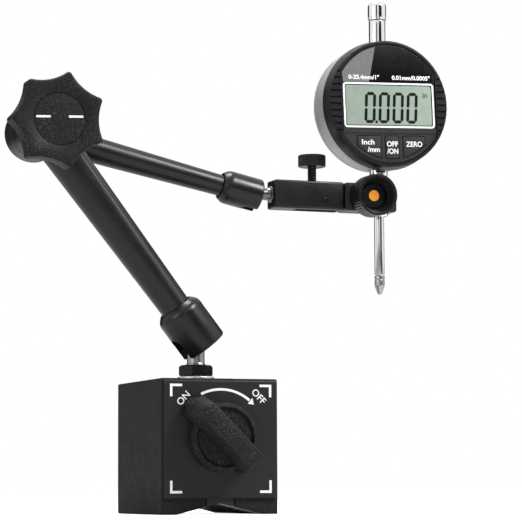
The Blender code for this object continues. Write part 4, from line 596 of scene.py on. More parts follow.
class STAND_OT_finishes(bpy.types.Operator):
    """Make the materials, and give every node of the frame its own"""

    bl_idname = "stand.finishes"
    bl_label = "Finishes"

    def execute(self, context):
        colours = context.scene.stand_colours
        make_effects()
        finish("rough paint", tuple(colours.paint), 0.6, grain=2300, depth=0.00020, mottle=0.3, specks=0.5,
               speck_scale=1500, speck_tint=6.0, coarse=0.8, specular=0.12, smudge=0.03)
        finish("spacer paint", tuple(scaled(colours.paint, 1.3)), 0.5, grain=2600, depth=0.00008, mottle=0.2,
               specular=0.3)
        finish("satin plate", tuple(colours.plate), 0.34, grain=5200, depth=0.00001, mottle=0.08, smudge=0.03,
               specular=0.18)
        finish("black oxide", tuple(scaled(colours.arm, 0.9)), 0.3, grain=3800, depth=0.00001, mottle=0.2,
               smudge=0.06, specular=0.25)
        finish("moulded plastic", tuple(colours.knob), 0.48, grain=2400, depth=0.00010, mottle=0.25, specks=0.8,
               speck_scale=1600, speck_tint=5.0, coarse=0.5, specular=0.12, smudge=0.03)
        finish("bright steel", (0.30, 0.30, 0.31), 0.3, 1.0, grain=900, depth=0.000003, mottle=0.06, lathe=70)
        finish("bright steel across", (0.14, 0.14, 0.145), 0.3, 1.0, grain=900, depth=0.000003, mottle=0.06, lathe=70,
               turn=(0, pi / 2, 0))
        finish("washer steel", (0.55, 0.55, 0.56), 0.45, 0.9, grain=900, depth=0.000003, mottle=0.06)
        finish("ground steel", (0.62, 0.61, 0.59), 0.5, 0.3, grain=900, mottle=0.08)
        finish("ferrite", (0.06, 0.06, 0.065), 0.7, grain=3000, depth=0.0001, mottle=0.2)
        finish("semi-gloss black", tuple(scaled(colours.arm, 0.9)), 0.30, grain=1500, depth=0.000002, mottle=0.12,
               smudge=0.03, specular=0.3)
        finish("satin arm", tuple(colours.arm), 0.33, grain=1900, depth=0.000003, mottle=0.14, smudge=0.03,
               specular=0.3)
        finish("brass", (0.60, 0.44, 0.18), 0.3, 1.0, grain=1200, depth=0.00001, mottle=0.08, lathe=70)
        finish("cap black", (0.008, 0.008, 0.009), 0.3, grain=2400, depth=0.00001, mottle=0.15, specular=0.25)
        finish("grey alloy", tuple(colours.body), 0.42, 0.4, grain=4200, depth=0.00002, mottle=0.08, smudge=0.04)
        finish("chrome", (0.70, 0.70, 0.71), 0.13, 1.0, grain=700, depth=0.000001, mottle=0.03, smudge=0.03, lathe=50)
        finish("point steel", (0.36, 0.36, 0.37), 0.25, 1.0, grain=900, depth=0.000003, mottle=0.06, lathe=80)
        finish("satin bezel", tuple(colours.bezel), 0.40, grain=3600, depth=0.00001, mottle=0.14, smudge=0.04,
               specular=0.2)
        finish("panel black", tuple(scaled(colours.bezel, 3.2)), 0.45, grain=3000, depth=0.00001, mottle=0.12,
               specular=0.15)
        finish("label gloss", (0.006, 0.006, 0.007), 0.16, grain=900, mottle=0.1, smudge=0.02, specular=0.3)
        finish("label grey", (0.17, 0.172, 0.178), 0.2, grain=900, mottle=0.06, smudge=0.02, specular=0.3)
        finish("display ground", tuple(colours.display), 0.3, grain=500, mottle=0.04, smudge=0.02, specular=0.3)
        finish("display ink", (0.004, 0.006, 0.005), 0.5, grain=900, mottle=0.1, specular=0.1)
        finish("display grey ink", (0.10, 0.125, 0.11), 0.5, grain=900, mottle=0.1, specular=0.1)
        finish("display module", (0.24, 0.30, 0.25), 0.5, grain=900, mottle=0.1)
        finish("white print", tuple(colours.ink), 0.5, grain=2600, mottle=0.04, smudge=0.05)
        finish("orange dot", tuple(colours.dot), 0.35, grain=2000, mottle=0.06)
        finish("key rubber", tuple(scaled(colours.bezel, 3.0)), 0.55, grain=3400, depth=0.00002, mottle=0.14,
               specular=0.15)
        finish("circuit board", (0.03, 0.14, 0.07), 0.5, grain=700, mottle=0.15)
        slots = {"paint": "rough paint", "spacer": "spacer paint", "plate": "satin plate", "oxide": "black oxide",
                 "knob": "moulded plastic", "steel": "bright steel", "ferrite": "ferrite",
                 "gloss": "semi-gloss black", "arm": "satin arm", "brass": "brass",
                 "cap": "cap black", "alloy": "grey alloy", "chrome": "chrome",
                 "carbide": "point steel", "bezel": "satin bezel", "panel": "panel black", "lcd": "display ground",
                 "lcd_back": "display module", "key": "key rubber", "board": "circuit board"}
        owners = {part["node"]: part["material_slot"] for part in frame["record"]["subparts"]}
        for name, node in frame["nodes"].items():
            slot = owners.get(name)
            if slot not in slots:
                raise RuntimeError(f"node {name} has no finish")
            if not node.material_slots:
                node.data.materials.append(None)
            node.material_slots[0].link = "OBJECT"
            node.material_slots[0].material = bpy.data.materials[slots[slot]]
        return {"FINISHED"}


class STAND_OT_base(bpy.types.Operator):
    """Washer and lock nut on the base, and the marks printed on its front plate"""

    bl_idname = "stand.base"
    bl_label = "Base"

    def execute(self, context):
        sizes = context.scene.stand_sizes
        low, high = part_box("stud_washer")
        outer, hole = 0.0077, 0.0043
        ring = rounded([(outer, low.z), (outer, high.z), (hole, high.z), (hole, low.z)], 0.0003, 5, closed=True)
        washer = turned("base_washer", ring, upright((BASE.x, BASE.y, 0)), ring=True)
        dress(washer, "washer steel", "base", "stud_washer", slot="chrome")

        low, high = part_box("lock_nut")
        apothem = 0.0065
        corner = apothem / cos(pi / 6)
        rise = high.z - low.z
        steps = np.concatenate([np.linspace(0, 0.0012, 7), np.linspace(rise - 0.0014, rise, 8)])

        def hexagon(radius, height, angle):
            """Six flats: apothem over the cosine of the angle off the nearest flat's middle, and no
            wider than the chamfer cone that opens from each face."""
            flat = apothem / np.cos((angle % (pi / 3)) - pi / 6)
            cone = apothem - 0.0004 + 1.7 * np.minimum(height - low.z + 0.0003, high.z - height)
            return np.where(radius > 0.006, np.minimum(flat, cone) - radius, 0)

        profile = [(0.0043, low.z)] + [(corner, low.z + step) for step in steps] + [(0.0043, high.z)]
        nut = turned("base_nut", profile, upright((BASE.x, BASE.y, 0)), 180, hexagon, ring=True, smooth=25)
        dress(nut, "black oxide", "base", "lock_nut", slot="oxide")

        low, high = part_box("spacer_bottom")
        half_base, land, rise, skin_depth = 0.025, 0.00625, 0.0045, 0.00006
        run = half_base - land
        slopes = []
        for side in (-1, 1):
            ends = [(side * (run - 0.0004), 0.0004 * rise / run), (side * 0.0002, rise - 0.0002 * rise / run)]
            slopes.append([(x, z - skin_depth) for x, z in ends] + [(x, z + skin_depth) for x, z in ends[::-1]])
        ground = prisms("ground_slopes", slopes, -high.y + 0.0009, -low.y - 0.0009, facing((BASE.x, 0, 0)))
        dress(ground, "ground steel", "base")

        face = facing((BASE.x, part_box("front_plate")[0].y, SWITCH.z))
        line = sizes.mark_line
        across, top, bottom, arm = 0.0218 - line / 2, 0.0216 - line / 2, -0.0224 + line / 2, 0.0046
        marks = []
        for x, y in ((-across, top), (across, top), (-across, bottom), (across, bottom)):
            sx, sy = (1 if x > 0 else -1), (1 if y > 0 else -1)
            path = [(x - sx * arm, y), (x, y), (x, y - sy * arm)]
            marks.append(strip("corner_mark", path, line, -PRINT, PRINT, face))
        turn_radius, head_outer, head_inner = 0.0195, 0.0211, 0.0180
        path = arc(turn_radius, radians(116), radians(51), 48)
        marks.append(strip("turn_arc", path, line, -PRINT, PRINT, face))
        tip, back = radians(43.5), radians(50)
        corners = ((turn_radius, tip), (head_outer, back), (head_inner, back))
        head = [(radius * cos(angle), radius * sin(angle)) for radius, angle in corners]
        marks.append(prisms("turn_arrow", [head], -PRINT, PRINT, face))
        for mark in marks:
            dress(mark, "white print", "base")
        capital, lean = 0.0028, radians(46)
        for name, text, middle, turn in (("word_on", "ON", (-0.0162, 0.0158), lean),
                                         ("word_off", "OFF", (0.0164, 0.0168), -lean)):
            lettering(name, text, capital, middle, face, "white print", "base", turn=turn, weight=0.008)
        return {"FINISHED"}


class STAND_OT_switch(bpy.types.Operator):
    """Round switch with its rim, dish and wedge handle"""

    bl_idname = "stand.switch"
    bl_label = "Switch"

    def execute(self, context):
        here = facing((SWITCH.x, SWITCH.y, SWITCH.z))
        foot = SWITCH.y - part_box("switch_knob")[1].y
        head = SWITCH.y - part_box("switch_knob")[0].y
        top = foot + 0.0055
        bore = 0.0053
        disc = rounded([(0, foot + 0.0043), (bore, foot + 0.0043), (bore, foot), (0.014, foot), (0.014, top - 0.0011),
                        (0.0133, top - 0.0011), (0.0130, top), (0.0122, top), (0.0113, top - 0.0011),
                        (0, top - 0.0011)],
                       [0, 0, 0.0002, 0.0003, 0.0004, 0.0002, 0.0003, 0.0003, 0.0006, 0], 6)
        knob = turned("switch_disc", disc, here, 144)
        dress(knob, "moulded plastic", "magnet_switch", "switch_knob", slot="knob")

        nose, tail, wide, narrow = 0.0208, 0.0155, 0.0105, 0.0078

        def plan(start, end, width, radius):
            points = [(start, -width / 2), (end - 0.25 * width, -width / 2), (end, -0.14 * width),
                      (end, 0.14 * width), (end - 0.25 * width, width / 2), (start, width / 2)]
            return rounded(points, radius, 5, closed=True)

        levels = [(foot + 0.0011, -tail, nose, wide, 0.0006), (foot + 0.0045, -tail, nose, wide, 0.0006),
                  (head - 0.0009, 0.0011 - tail, nose - 0.0038, narrow + 0.0003, 0.0006),
                  (head - 0.00025, 0.0013 - tail, nose - 0.0041, narrow - 0.0001, 0.0006),
                  (head, 0.0018 - tail, nose - 0.0047, narrow - 0.0010, 0.0005)]
        rings = [np.column_stack([plan(start, end, width, radius), np.full(30, height)])
                 for height, start, end, width, radius in levels]
        handle = lofted("switch_handle", rings, here @ Matrix.Rotation(radians(135), 4, "Z"), smooth=24)
        dress(handle, "moulded plastic", "magnet_switch")
        return {"FINISHED"}


def below(along):
    """Direction square to an arm and to the depth axis, taken downwards."""
    across = Vector((0, 1, 0)).cross(along)
    return -across if across.z > 0 else across


def ball_profile(radius, start, end, steps=28):
    """Profile of a ball: (radius sin a, radius cos a) from one angle off its pole to another."""
    angle = np.linspace(start, end, steps)
    return np.column_stack([radius * np.sin(angle), radius * np.cos(angle)])


class STAND_OT_lower_arm(bpy.types.Operator):
    """Ball stud on the base, and the lower arm with its socket and its drum at the hub"""

    bl_idname = "stand.lower_arm"
    bl_label = "Lower arm"

    def execute(self, context):
        ball, neck, thread = 0.007, 0.0037, 0.004
        leave = pi - acos(sqrt(ball ** 2 - neck ** 2) / ball)
        nut_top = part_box("lock_nut")[1].z - LOWER_BALL.z
        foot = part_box("lower_ball_stud")[0].z - LOWER_BALL.z
        profile = np.concatenate([ball_profile(ball, 0, leave), rounded(
            [(neck, -ball * 0.9), (neck, nut_top + 0.0009), (thread, nut_top + 0.0003), (thread, foot + 0.0003),
             (thread - 0.0003, foot), (0, foot)], 0.0002, 4)])
        stud = turned("lower_stud", profile, upright(LOWER_BALL), 96)
        dress(stud, "bright steel", "lower_stud", "lower_ball_stud", slot="steel")

        along = HUB - LOWER_BALL
        length = along.length
        here = seat(LOWER_BALL, along, (0, -1, 0))
        mouth, back, outer, throat = -0.0063, 0.0148, 0.010, 0.0075
        spigot, lip, bore, step = 0.0065 + GAP, 0.0066, 0.0076, 0.0104
        profile = rounded([(spigot, back), (throat, back), (outer, back - 0.0026), (outer, mouth), (lip, mouth),
                           (lip, -0.0030), (bore, -0.0020), (bore, step), (spigot, step)],
                          [0.0002, 0.0012, 0.0042, 0.0009, 0.0004, 0.0003, 0.0003, 0.0001, 0.0001], 9, closed=True)
        socket = turned("lower_socket_shell", profile, here, 120, ring=True)
        slot = 0.0042
        mouth_slot = np.concatenate([arc(slot, -pi / 2, pi / 2, 24), [(-0.012, slot), (-0.012, -slot)]])
        notch = slab("notch", mouth_slot, 0.0, 0.016, seat(LOWER_BALL, below(along), along))
        carve(socket, notch)
        dress(socket, "semi-gloss black", "lower_arm", "lower_socket", slot="gloss")

        end, top, flats = 0.0065, 0.0084, 0.0144
        tube = turned("lower_arm_tube", [(0, length), (top, length), (end, back), (end, step + GAP), (0, step + GAP)],
                      here, 128)
        drum = cylinder("drum", 0.012, -0.009, 0.009, facing(HUB), 128)
        carve(tube, drum, operation="UNION")
        flat = blocks("flats", [(0, 0, 0.05)], (flats, 0.06, 0.2), here)
        carve(tube, flat, operation="INTERSECT")
        carve(tube, cylinder("rod_bore", 0.0029, 0.005, length, here, 32),
              cylinder("bolt_bore", 0.0043, -0.01, 0.01, facing(HUB)))
        dress(tube, "satin arm", "lower_arm", "lower_arm", slot="arm")
        return {"FINISHED"}


class STAND_OT_upper_arm(bpy.types.Operator):
    """Upper arm with its drum, bolt and socket"""

    bl_idname = "stand.upper_arm"
    bl_label = "Upper arm"

    def execute(self, context):
        along = UPPER_BALL - UPPER_HUB
        length = along.length
        here = seat(UPPER_HUB, along, (0, -1, 0))
        drum_half = 0.0073
        radius, rounding = 0.012, 0.0042
        end, start, back, step = 0.00455, 0.0061, 0.0137, 0.0096
        arm = turned("upper_arm_tube", [(0, 0), (start, 0), (end, length - back), (end, length - step - GAP),
                                        (0, length - step - GAP)], here, 128)
        profile = rounded([(0, drum_half), (radius, drum_half), (radius, -drum_half), (0, -drum_half)],
                          [0, rounding, 0.0003, 0], 12)
        carve(arm, turned("drum", profile, backing(UPPER_HUB), 128), operation="UNION")
        bolt_sunk, head_rise = 0.0004, 0.0026
        head_low = drum_half - bolt_sunk - head_rise
        well = [(0, drum_half + OVERRUN), (0.0068, drum_half + OVERRUN), (0.0068, head_low - GAP),
                (0.0043, head_low - GAP), (0.0043, -0.01), (0, -0.01)]
        carve(arm, turned("bolt_well", well, backing(UPPER_HUB), 96),
              cylinder("rod_bore", 0.002, 0, length, here, 32))
        dress(arm, "satin arm", "upper_arm", "upper_arm", slot="arm")

        bolt_low = UPPER_HUB.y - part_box("hub_bolt")[0].y
        profile = rounded([(0, head_low + head_rise), (0.0064, head_low + head_rise), (0.0064, head_low),
                           (0.004, head_low),
                           (0.004, -bolt_low), (0, -bolt_low)], [0, 0.0004, 0.0001, 0.0002, 0.0003, 0], 5)
        bolt = turned("hub_bolt_shape", profile, backing(UPPER_HUB), 96)
        key = 0.0025 / cos(pi / 6)
        hexagon = [(key * cos(tau * i / 6), key * sin(tau * i / 6)) for i in range(6)]
        carve(bolt, slab("key_hole", hexagon, head_low + 0.0002, head_low + 0.004, backing(UPPER_HUB)))
        dress(bolt, "bright steel", "upper_arm", "hub_bolt", slot="steel")

        mouth, outer, throat = length + 0.0043, 0.00725, 0.0056
        spigot, lip, bore = end + GAP, 0.00475, 0.0056
        profile = rounded([(spigot, length - back), (throat, length - back), (outer, length - back + 0.0024),
                           (outer, mouth), (lip, mouth), (lip, mouth - 0.0021), (bore, mouth - 0.0030),
                           (bore, length - step), (spigot, length - step)],
                          [0.0002, 0.0010, 0.0040, 0.0008, 0.0003, 0.0003, 0.0003, 0.0001, 0.0001], 9, closed=True)
        socket = turned("upper_socket_shell", profile, here, 120, ring=True)
        slot = 0.003
        notch = slab("notch", np.concatenate([arc(slot, pi / 2, 3 * pi / 2, 24), [(0.009, -slot), (0.009, slot)]]),
                     0.0, 0.012, seat(UPPER_BALL, below(along), along))
        carve(socket, notch)
        dress(socket, "semi-gloss black", "upper_arm", "upper_socket", slot="gloss")

        ball, neck, flare = 0.005, 0.0026, 0.0037
        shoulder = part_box("holder_block")[0].x - GAP - UPPER_BALL.x
        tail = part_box("upper_ball_stud")[1].x - UPPER_BALL.x
        leave = acos(sqrt(ball ** 2 - neck ** 2) / ball)
        profile = np.concatenate([ball_profile(ball, pi, leave), rounded(
            [(neck, 0.0045), (neck, shoulder - 0.0021), (neck + 0.0004, shoulder - 0.0010),
             (flare, shoulder - 0.0003), (flare, shoulder), (neck, shoulder), (neck, tail - 0.0003),
             (neck - 0.0003, tail), (0, tail)], 0.0002, 5)])
        stud = turned("upper_stud", profile, seat(UPPER_BALL, (1, 0, 0), (0, 0, 1)), 80)
        dress(stud, "bright steel across", "upper_stud", "upper_ball_stud", slot="steel")
        return {"FINISHED"}


class STAND_OT_star_knob(bpy.types.Operator):
    """Star knob of the hub, with its cap and two printed dashes. Between lobes its outline is a hollow arc,
    D cos u - sqrt(R^2 - D^2 sin^2 u); on a lobe it is the arc c cos t + sqrt(q^2 - c^2 sin^2 t) that touches both"""

    bl_idname = "stand.star_knob"
    bl_label = "Star knob"

    def execute(self, context):
        hollow = context.scene.stand_sizes.knob_hollow
        lobes, valley, nib = 7, 0.0166, 0.0014
        here = facing(KNOB_FOOT)
        turn = np.linspace(0, tau, lobes * 64, endpoint=False)
        past = np.abs(turn % (tau / lobes) - pi / lobes)
        far = valley + hollow
        across, along = far * sin(pi / lobes), far * cos(pi / lobes)
        middle = along - sqrt((hollow + nib) ** 2 - across ** 2)
        share = nib / (hollow + nib)
        change = np.arctan2(across * share, middle + (along - middle) * share)
        lobe = pi / lobes - past
        cup = far * np.cos(past) - np.sqrt(hollow ** 2 - (far * np.sin(past)) ** 2)
        nose = middle * np.cos(lobe) + np.sqrt(np.maximum(nib ** 2 - (middle * np.sin(lobe)) ** 2, 0))
        rim = np.where(lobe < change, nose, cup)
        neck, skirt, length, low, edge = 0.01225, 0.01375, 0.0175, 0.0080, 0.0012
        cap, insert, cap_depth = 0.0108, 0.0065, 0.0022
        flare, bend, first_lobe = 0.0028, 0.0020, radians(78)
        sections = [(0.0107, 0, 0, 0), (0.0107, insert, 0, 0), (0.0, insert, 0, 0), (0.0, neck - 0.0004, 0, 0),
                    (0.0004, neck, 0, 0), (flare, neck, 0, 0)]
        rise = np.linspace(0, 1, 9)[1:]
        sections += [(flare + (low - bend - flare) * s, neck + (skirt - neck) * s ** 2, 0.10 * s ** 3, 0)
                     for s in rise]
        sections += [(low - bend + 0.0022 * s, skirt, 0.10 + 0.80 * s ** 1.3, 0) for s in rise]
        sections += [(low + 0.0002 + edge * (1 - cos(a)), 0, 1, 0.0009 * (1 - sin(a)))
                     for a in np.linspace(0, pi / 2, 6)]
        sections += [(length - edge + edge * sin(a), 0, 1, edge * (1 - cos(a))) for a in np.linspace(0, pi / 2, 7)]
        sections += [(length, cap + 0.0002, 0, 0), (length - 0.0002, cap, 0, 0), (length - cap_depth, cap, 0, 0),
                     (length - cap_depth, 0, 0, 0)]
        place = turn + first_lobe
        rings = []
        for height, round_radius, share, inward in sections:
            radius = share * (rim - inward) + (1 - share) * round_radius
            rings.append([radius * np.cos(place), radius * np.sin(place), np.full(len(turn), height)])
        grid = np.array(rings).transpose(0, 2, 1)
        knob = piece("star_knob", grid, skin(len(sections), len(turn)), here, smooth=50)
        dress(knob, "moulded plastic", "hub_knob", "hub_knob", slot="knob")

        face = length - 0.0003
        profile = rounded([(0, face), (0.0107, face), (0.0107, face - 0.0016), (0, face - 0.0016)], 0.0002, 5)
        lid = turned("star_knob_cap", profile, here, 128)
        dress(lid, "moulded plastic", "hub_knob", "hub_knob_cap", slot="knob")
        for name, x in (("knob_dash_left", -0.0068), ("knob_dash_right", 0.0068)):
            dash = slab(name, window(0.0060, 0.0009, 0.0001, (x, 0.0009)), face - PRINT, face + PRINT,
                        here @ Matrix.Rotation(radians(2.5), 4, "Z"))
            dress(dash, "white print", "hub_knob")
        return {"FINISHED"}


def ribs(count, depth, low, high, outer):
    """Straight ribs: the radius falls by depth (1 - |sin(count a / 2)|^0.7) between two heights."""
    def ripple(radius, height, angle):
        wave = 1 - np.abs(np.sin(count * angle / 2)) ** 0.7
        inside = (height > low) & (height < high) & (radius > outer - 0.0008)
        return np.where(inside, -depth * wave, 0)
    return ripple


class STAND_OT_fine_adjuster(bpy.types.Operator):
    """Block, thumb screw and pivot pin of the fine adjuster"""

    bl_idname = "stand.fine_adjuster"
    bl_label = "Fine adjuster"

    def execute(self, context):
        sizes = context.scene.stand_sizes
        low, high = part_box("fine_screw")
        tip, top = low.z - FINE_SCREW.z, high.z - FINE_SCREW.z
        head, rod, rise, thread_depth = 0.00605, 0.002, 0.0052, 0.00024
        head_low = top - rise
        upper = rounded([(0, top), (head, top), (head, head_low), (rod, head_low)], [0, 0.0005, 0.0005, 0], 5)
        band = np.linspace(head_low + 0.0006, top - 0.0006, 3)[::-1]
        wall = np.column_stack([np.full(3, head), band])
        split = np.argmax(upper[:, 1] < top - rise / 2)
        upper = np.concatenate([upper[:split], wall, upper[split:]])
        shaft = np.linspace(head_low, tip + 0.0003, 150)[1:]
        profile = np.concatenate([upper, np.column_stack([np.full(len(shaft), rod), shaft]),
                                  [(rod - 0.0003, tip), (0, tip)]])
        knurl = ribs(sizes.screw_ribs, 0.00026, head_low + 0.0004, top - 0.0004, head)

        def cut_thread(radius, height, angle):
            """Thread: a triangle wave of the height over the pitch, less the turn's share."""
            phase = (height / sizes.thread_pitch - angle / tau) % 1
            on_shaft = (height < head_low - 0.0002) & (radius > rod - 0.0001)
            groove = np.where(on_shaft, -thread_depth * np.abs(2 * phase - 1), 0)
            return knurl(radius, height, angle) + groove

        screw = turned("thumb_screw", profile, upright(FINE_SCREW), 228, cut_thread, smooth=60)
        dress(screw, "black oxide", "fine_screw", "fine_screw", slot="oxide")

        low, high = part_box("holder_block")
        middle = (low + high) / 2
        block = blocks("holder_body", [middle], high - low, Matrix())
        soften(block, 0.0008, 3)
        left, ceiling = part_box("fine_lever")[0].x - 2 * GAP, low.z + 0.0101
        channel = blocks("channel", [((left + high.x + OVERRUN) / 2, middle.y, (ceiling + low.z - OVERRUN) / 2)],
                         (high.x + OVERRUN - left, 0.0056, ceiling - low.z + OVERRUN), Matrix())
        screw_place = upright((FINE_SCREW.x, middle.y, high.z + OVERRUN))
        bore = [cylinder("bore", r, -0.01, 0.01, place, 48)
                for r, place in ((0.00182, facing(FINE_PIN)), (0.0023, screw_place))]
        neck = cylinder("neck", 0.0029, -OVERRUN, 0.0070,
                        seat((low.x, middle.y, UPPER_BALL.z), (1, 0, 0), (0, 0, 1)), 48)
        carve(block, channel, *bore, neck)
        dress(block, "satin arm", "holder", "holder_block", slot="arm")

        half = (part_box("fine_pivot_pin")[1].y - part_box("fine_pivot_pin")[0].y) / 2
        profile = rounded([(0, half), (0.00175, half), (0.00175, -half), (0, -half)], 0.0003, 5)
        pin = turned("pivot_pin", profile, facing(FINE_PIN), 64)
        dress(pin, "black oxide", "holder", "fine_pivot_pin", slot="oxide")
        return {"FINISHED"}


class STAND_OT_clamp_knob(bpy.types.Operator):
    """Split clamp, and its ribbed knob with its dish, cap and dot"""

    bl_idname = "stand.clamp_knob"
    bl_label = "Clamp knob"

    def execute(self, context):
        sizes = context.scene.stand_sizes
        here = facing(CLAMP_FACE)
        low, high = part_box("clamp_head")
        edge, chamfer = 0.0008, 0.0016
        outline = [(low.x, low.z + edge), (low.x + edge, low.z), (high.x - chamfer / 2, low.z),
                   (high.x, low.z + chamfer / 2), (high.x, high.z - chamfer), (high.x - chamfer, high.z),
                   (low.x + edge, high.z), (low.x, high.z - edge)]
        clamp = slab("clamp_body", outline, -high.y, -low.y, facing((0, 0, 0)))
        soften(clamp, 0.0003, 2)
        middle = (low + high) / 2
        split = blocks("split", [(high.x - 0.0163 / 2 + 0.001, middle.y, middle.z)], (0.0183, 0.0010, 0.02), Matrix())
        bore = [cylinder("bore", r, start, end, place) for r, start, end, place in (
            (0.0043, -0.02, 0.02, upright((STEM.x, STEM.y, middle.z))),
            (0.0028, -0.001, 0.0079, seat((low.x, middle.y, UPPER_BALL.z), (1, 0, 0), (0, 0, 1))),
            (0.0019, -0.0092, 0.002, here))]
        carve(clamp, split, *bore)
        dress(clamp, "satin arm", "clamp", "clamp_head", slot="arm")
        foot = CLAMP_FACE.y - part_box("clamp_knob")[1].y
        face = CLAMP_FACE.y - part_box("clamp_knob")[0].y
        radius, floor_radius, dish, cap = 0.0092, 0.0059, 0.0046, 0.0011
        floor = face - dish
        bore = 0.0019
        profile = rounded([(0, floor - cap), (floor_radius, floor - cap), (floor_radius, floor),
                           (radius - 0.0012, face), (radius, face),
                           (radius, face - 0.0012), (radius, face - 0.0040), (radius, foot + 0.0012),
                           (radius, foot), (bore, foot), (bore, foot + 0.0025), (0, foot + 0.0025)],
                          [0, 0, 0.0002, 0.0004, 0.0003, 0, 0, 0, 0.0004, 0.0002, 0, 0], 5)
        ripple = ribs(sizes.knurl_ribs, sizes.knurl_depth, foot + 0.0004, face - 0.0004, radius)
        knob = turned("clamp_hand_knob", profile, here, sizes.knurl_ribs * 8, ripple, smooth=50)
        dress(knob, "black oxide", "clamp_knob", "clamp_knob", slot="oxide")
        ledge = floor - cap + GAP
        profile = rounded([(0, floor), (0.0050, floor), (0.0056, floor - 0.0003), (0.0056, ledge), (0, ledge)],
                          [0, 0.0004, 0.0001, 0, 0], 5)
        lid = turned("clamp_knob_lid", profile, here, 96)
        dress(lid, "cap black", "clamp_knob", "clamp_knob_cap", slot="cap")
        dot = slab("clamp_dot", arc(0.0024, 0, tau * 47 / 48, 48), floor - PRINT, floor + PRINT, here)
        dress(dot, "orange dot", "clamp_knob")
        return {"FINISHED"}


class STAND_OT_indicator_body(bpy.types.Operator):
    """Grey body, back cover and its four screws"""

    bl_idname = "stand.indicator_body"
    bl_label = "Indicator body"

    def execute(self, context):
        low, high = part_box("rear_body")
        radius = (high.x - low.x) / 2
        inner, web = radius - 0.004, 0.0012
        here = backing((DIAL.x, 0, DIAL.z))
        front, rear = low.y, high.y
        profile = rounded([(0, front + web), (inner, front + web), (inner, rear), (radius, rear), (radius, front),
                           (0, front)], [0, 0.0002, 0.0002, 0.0002, 0.0006, 0], 5)
        body = turned("indicator_body", profile, here, 160)
        bores = []
        for name, r, z_low, z_high in (("stem_bore", 0.0043, -radius - 0.002, -radius + 0.008),
                                       ("sleeve_bore", 0.0040, radius - 0.008, radius + 0.002)):
            bores.append(cylinder(name, r, z_low, z_high, upright((STEM.x, STEM.y, DIAL.z))))
        screw_circle, hole_radius, hole_depth = 0.0263, 0.0011, 0.004
        quarters = [pi / 4 + tau * i / 4 for i in range(4)]
        screws = [(screw_circle * cos(angle), screw_circle * sin(angle)) for angle in quarters]
        holes = [cylinder("hole", hole_radius, rear - hole_depth, rear + hole_depth,
                          backing((DIAL.x + x, 0, DIAL.z + z)), 24) for x, z in screws]
        carve(body, *bores, *holes)
        dress(body, "grey alloy", "indicator", "rear_body", slot="alloy")

        low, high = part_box("back_cover")
        front, rear = low.y, high.y
        profile = rounded([(0, rear), (0.0206, rear), (0.0209, rear - 0.0003), (0.0213, rear - 0.0003),
                           (0.0216, rear), (radius, rear), (radius, front), (0, front)],
                          [0, 0, 0.0001, 0.0001, 0, 0.0006, 0.0002, 0], 5)
        cover = turned("indicator_cover", profile, here, 160)
        holes = [cylinder("hole", hole_radius, front - OVERRUN, rear + OVERRUN,
                          backing((DIAL.x + x, 0, DIAL.z + z)), 24) for x, z in screws]
        carve(cover, *holes)
        dress(cover, "grey alloy", "indicator", "back_cover", slot="alloy")

        for i, (x, z) in enumerate(screws):
            low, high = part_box(f"cover_screw_{i + 1}")
            head, top = high.y - 0.0008, high.y
            profile = rounded([(0, top), (0.0010, top), (0.0015, head + 0.0001), (0.0015, head), (0.0008, head),
                               (0.0008, low.y), (0, low.y)], [0, 0.0003, 0.0001, 0.0001, 0, 0.0001, 0], 5)
            middle = (low + high) / 2
            spot = backing((middle.x, 0, middle.z))
            screw = turned(f"cover_screw_head_{i + 1}", profile, spot, 40)
            cross = blocks("cross", [(0, 0, top)], (0.0016, 0.00034, 0.0009), spot)
            quarter = blocks("cross", [(0, 0, top)], (0.00034, 0.0016, 0.0009), spot)
            carve(screw, cross)
            carve(screw, quarter)
            dress(screw, "bright steel", "indicator", f"cover_screw_{i + 1}", slot="steel")
        return {"FINISHED"}


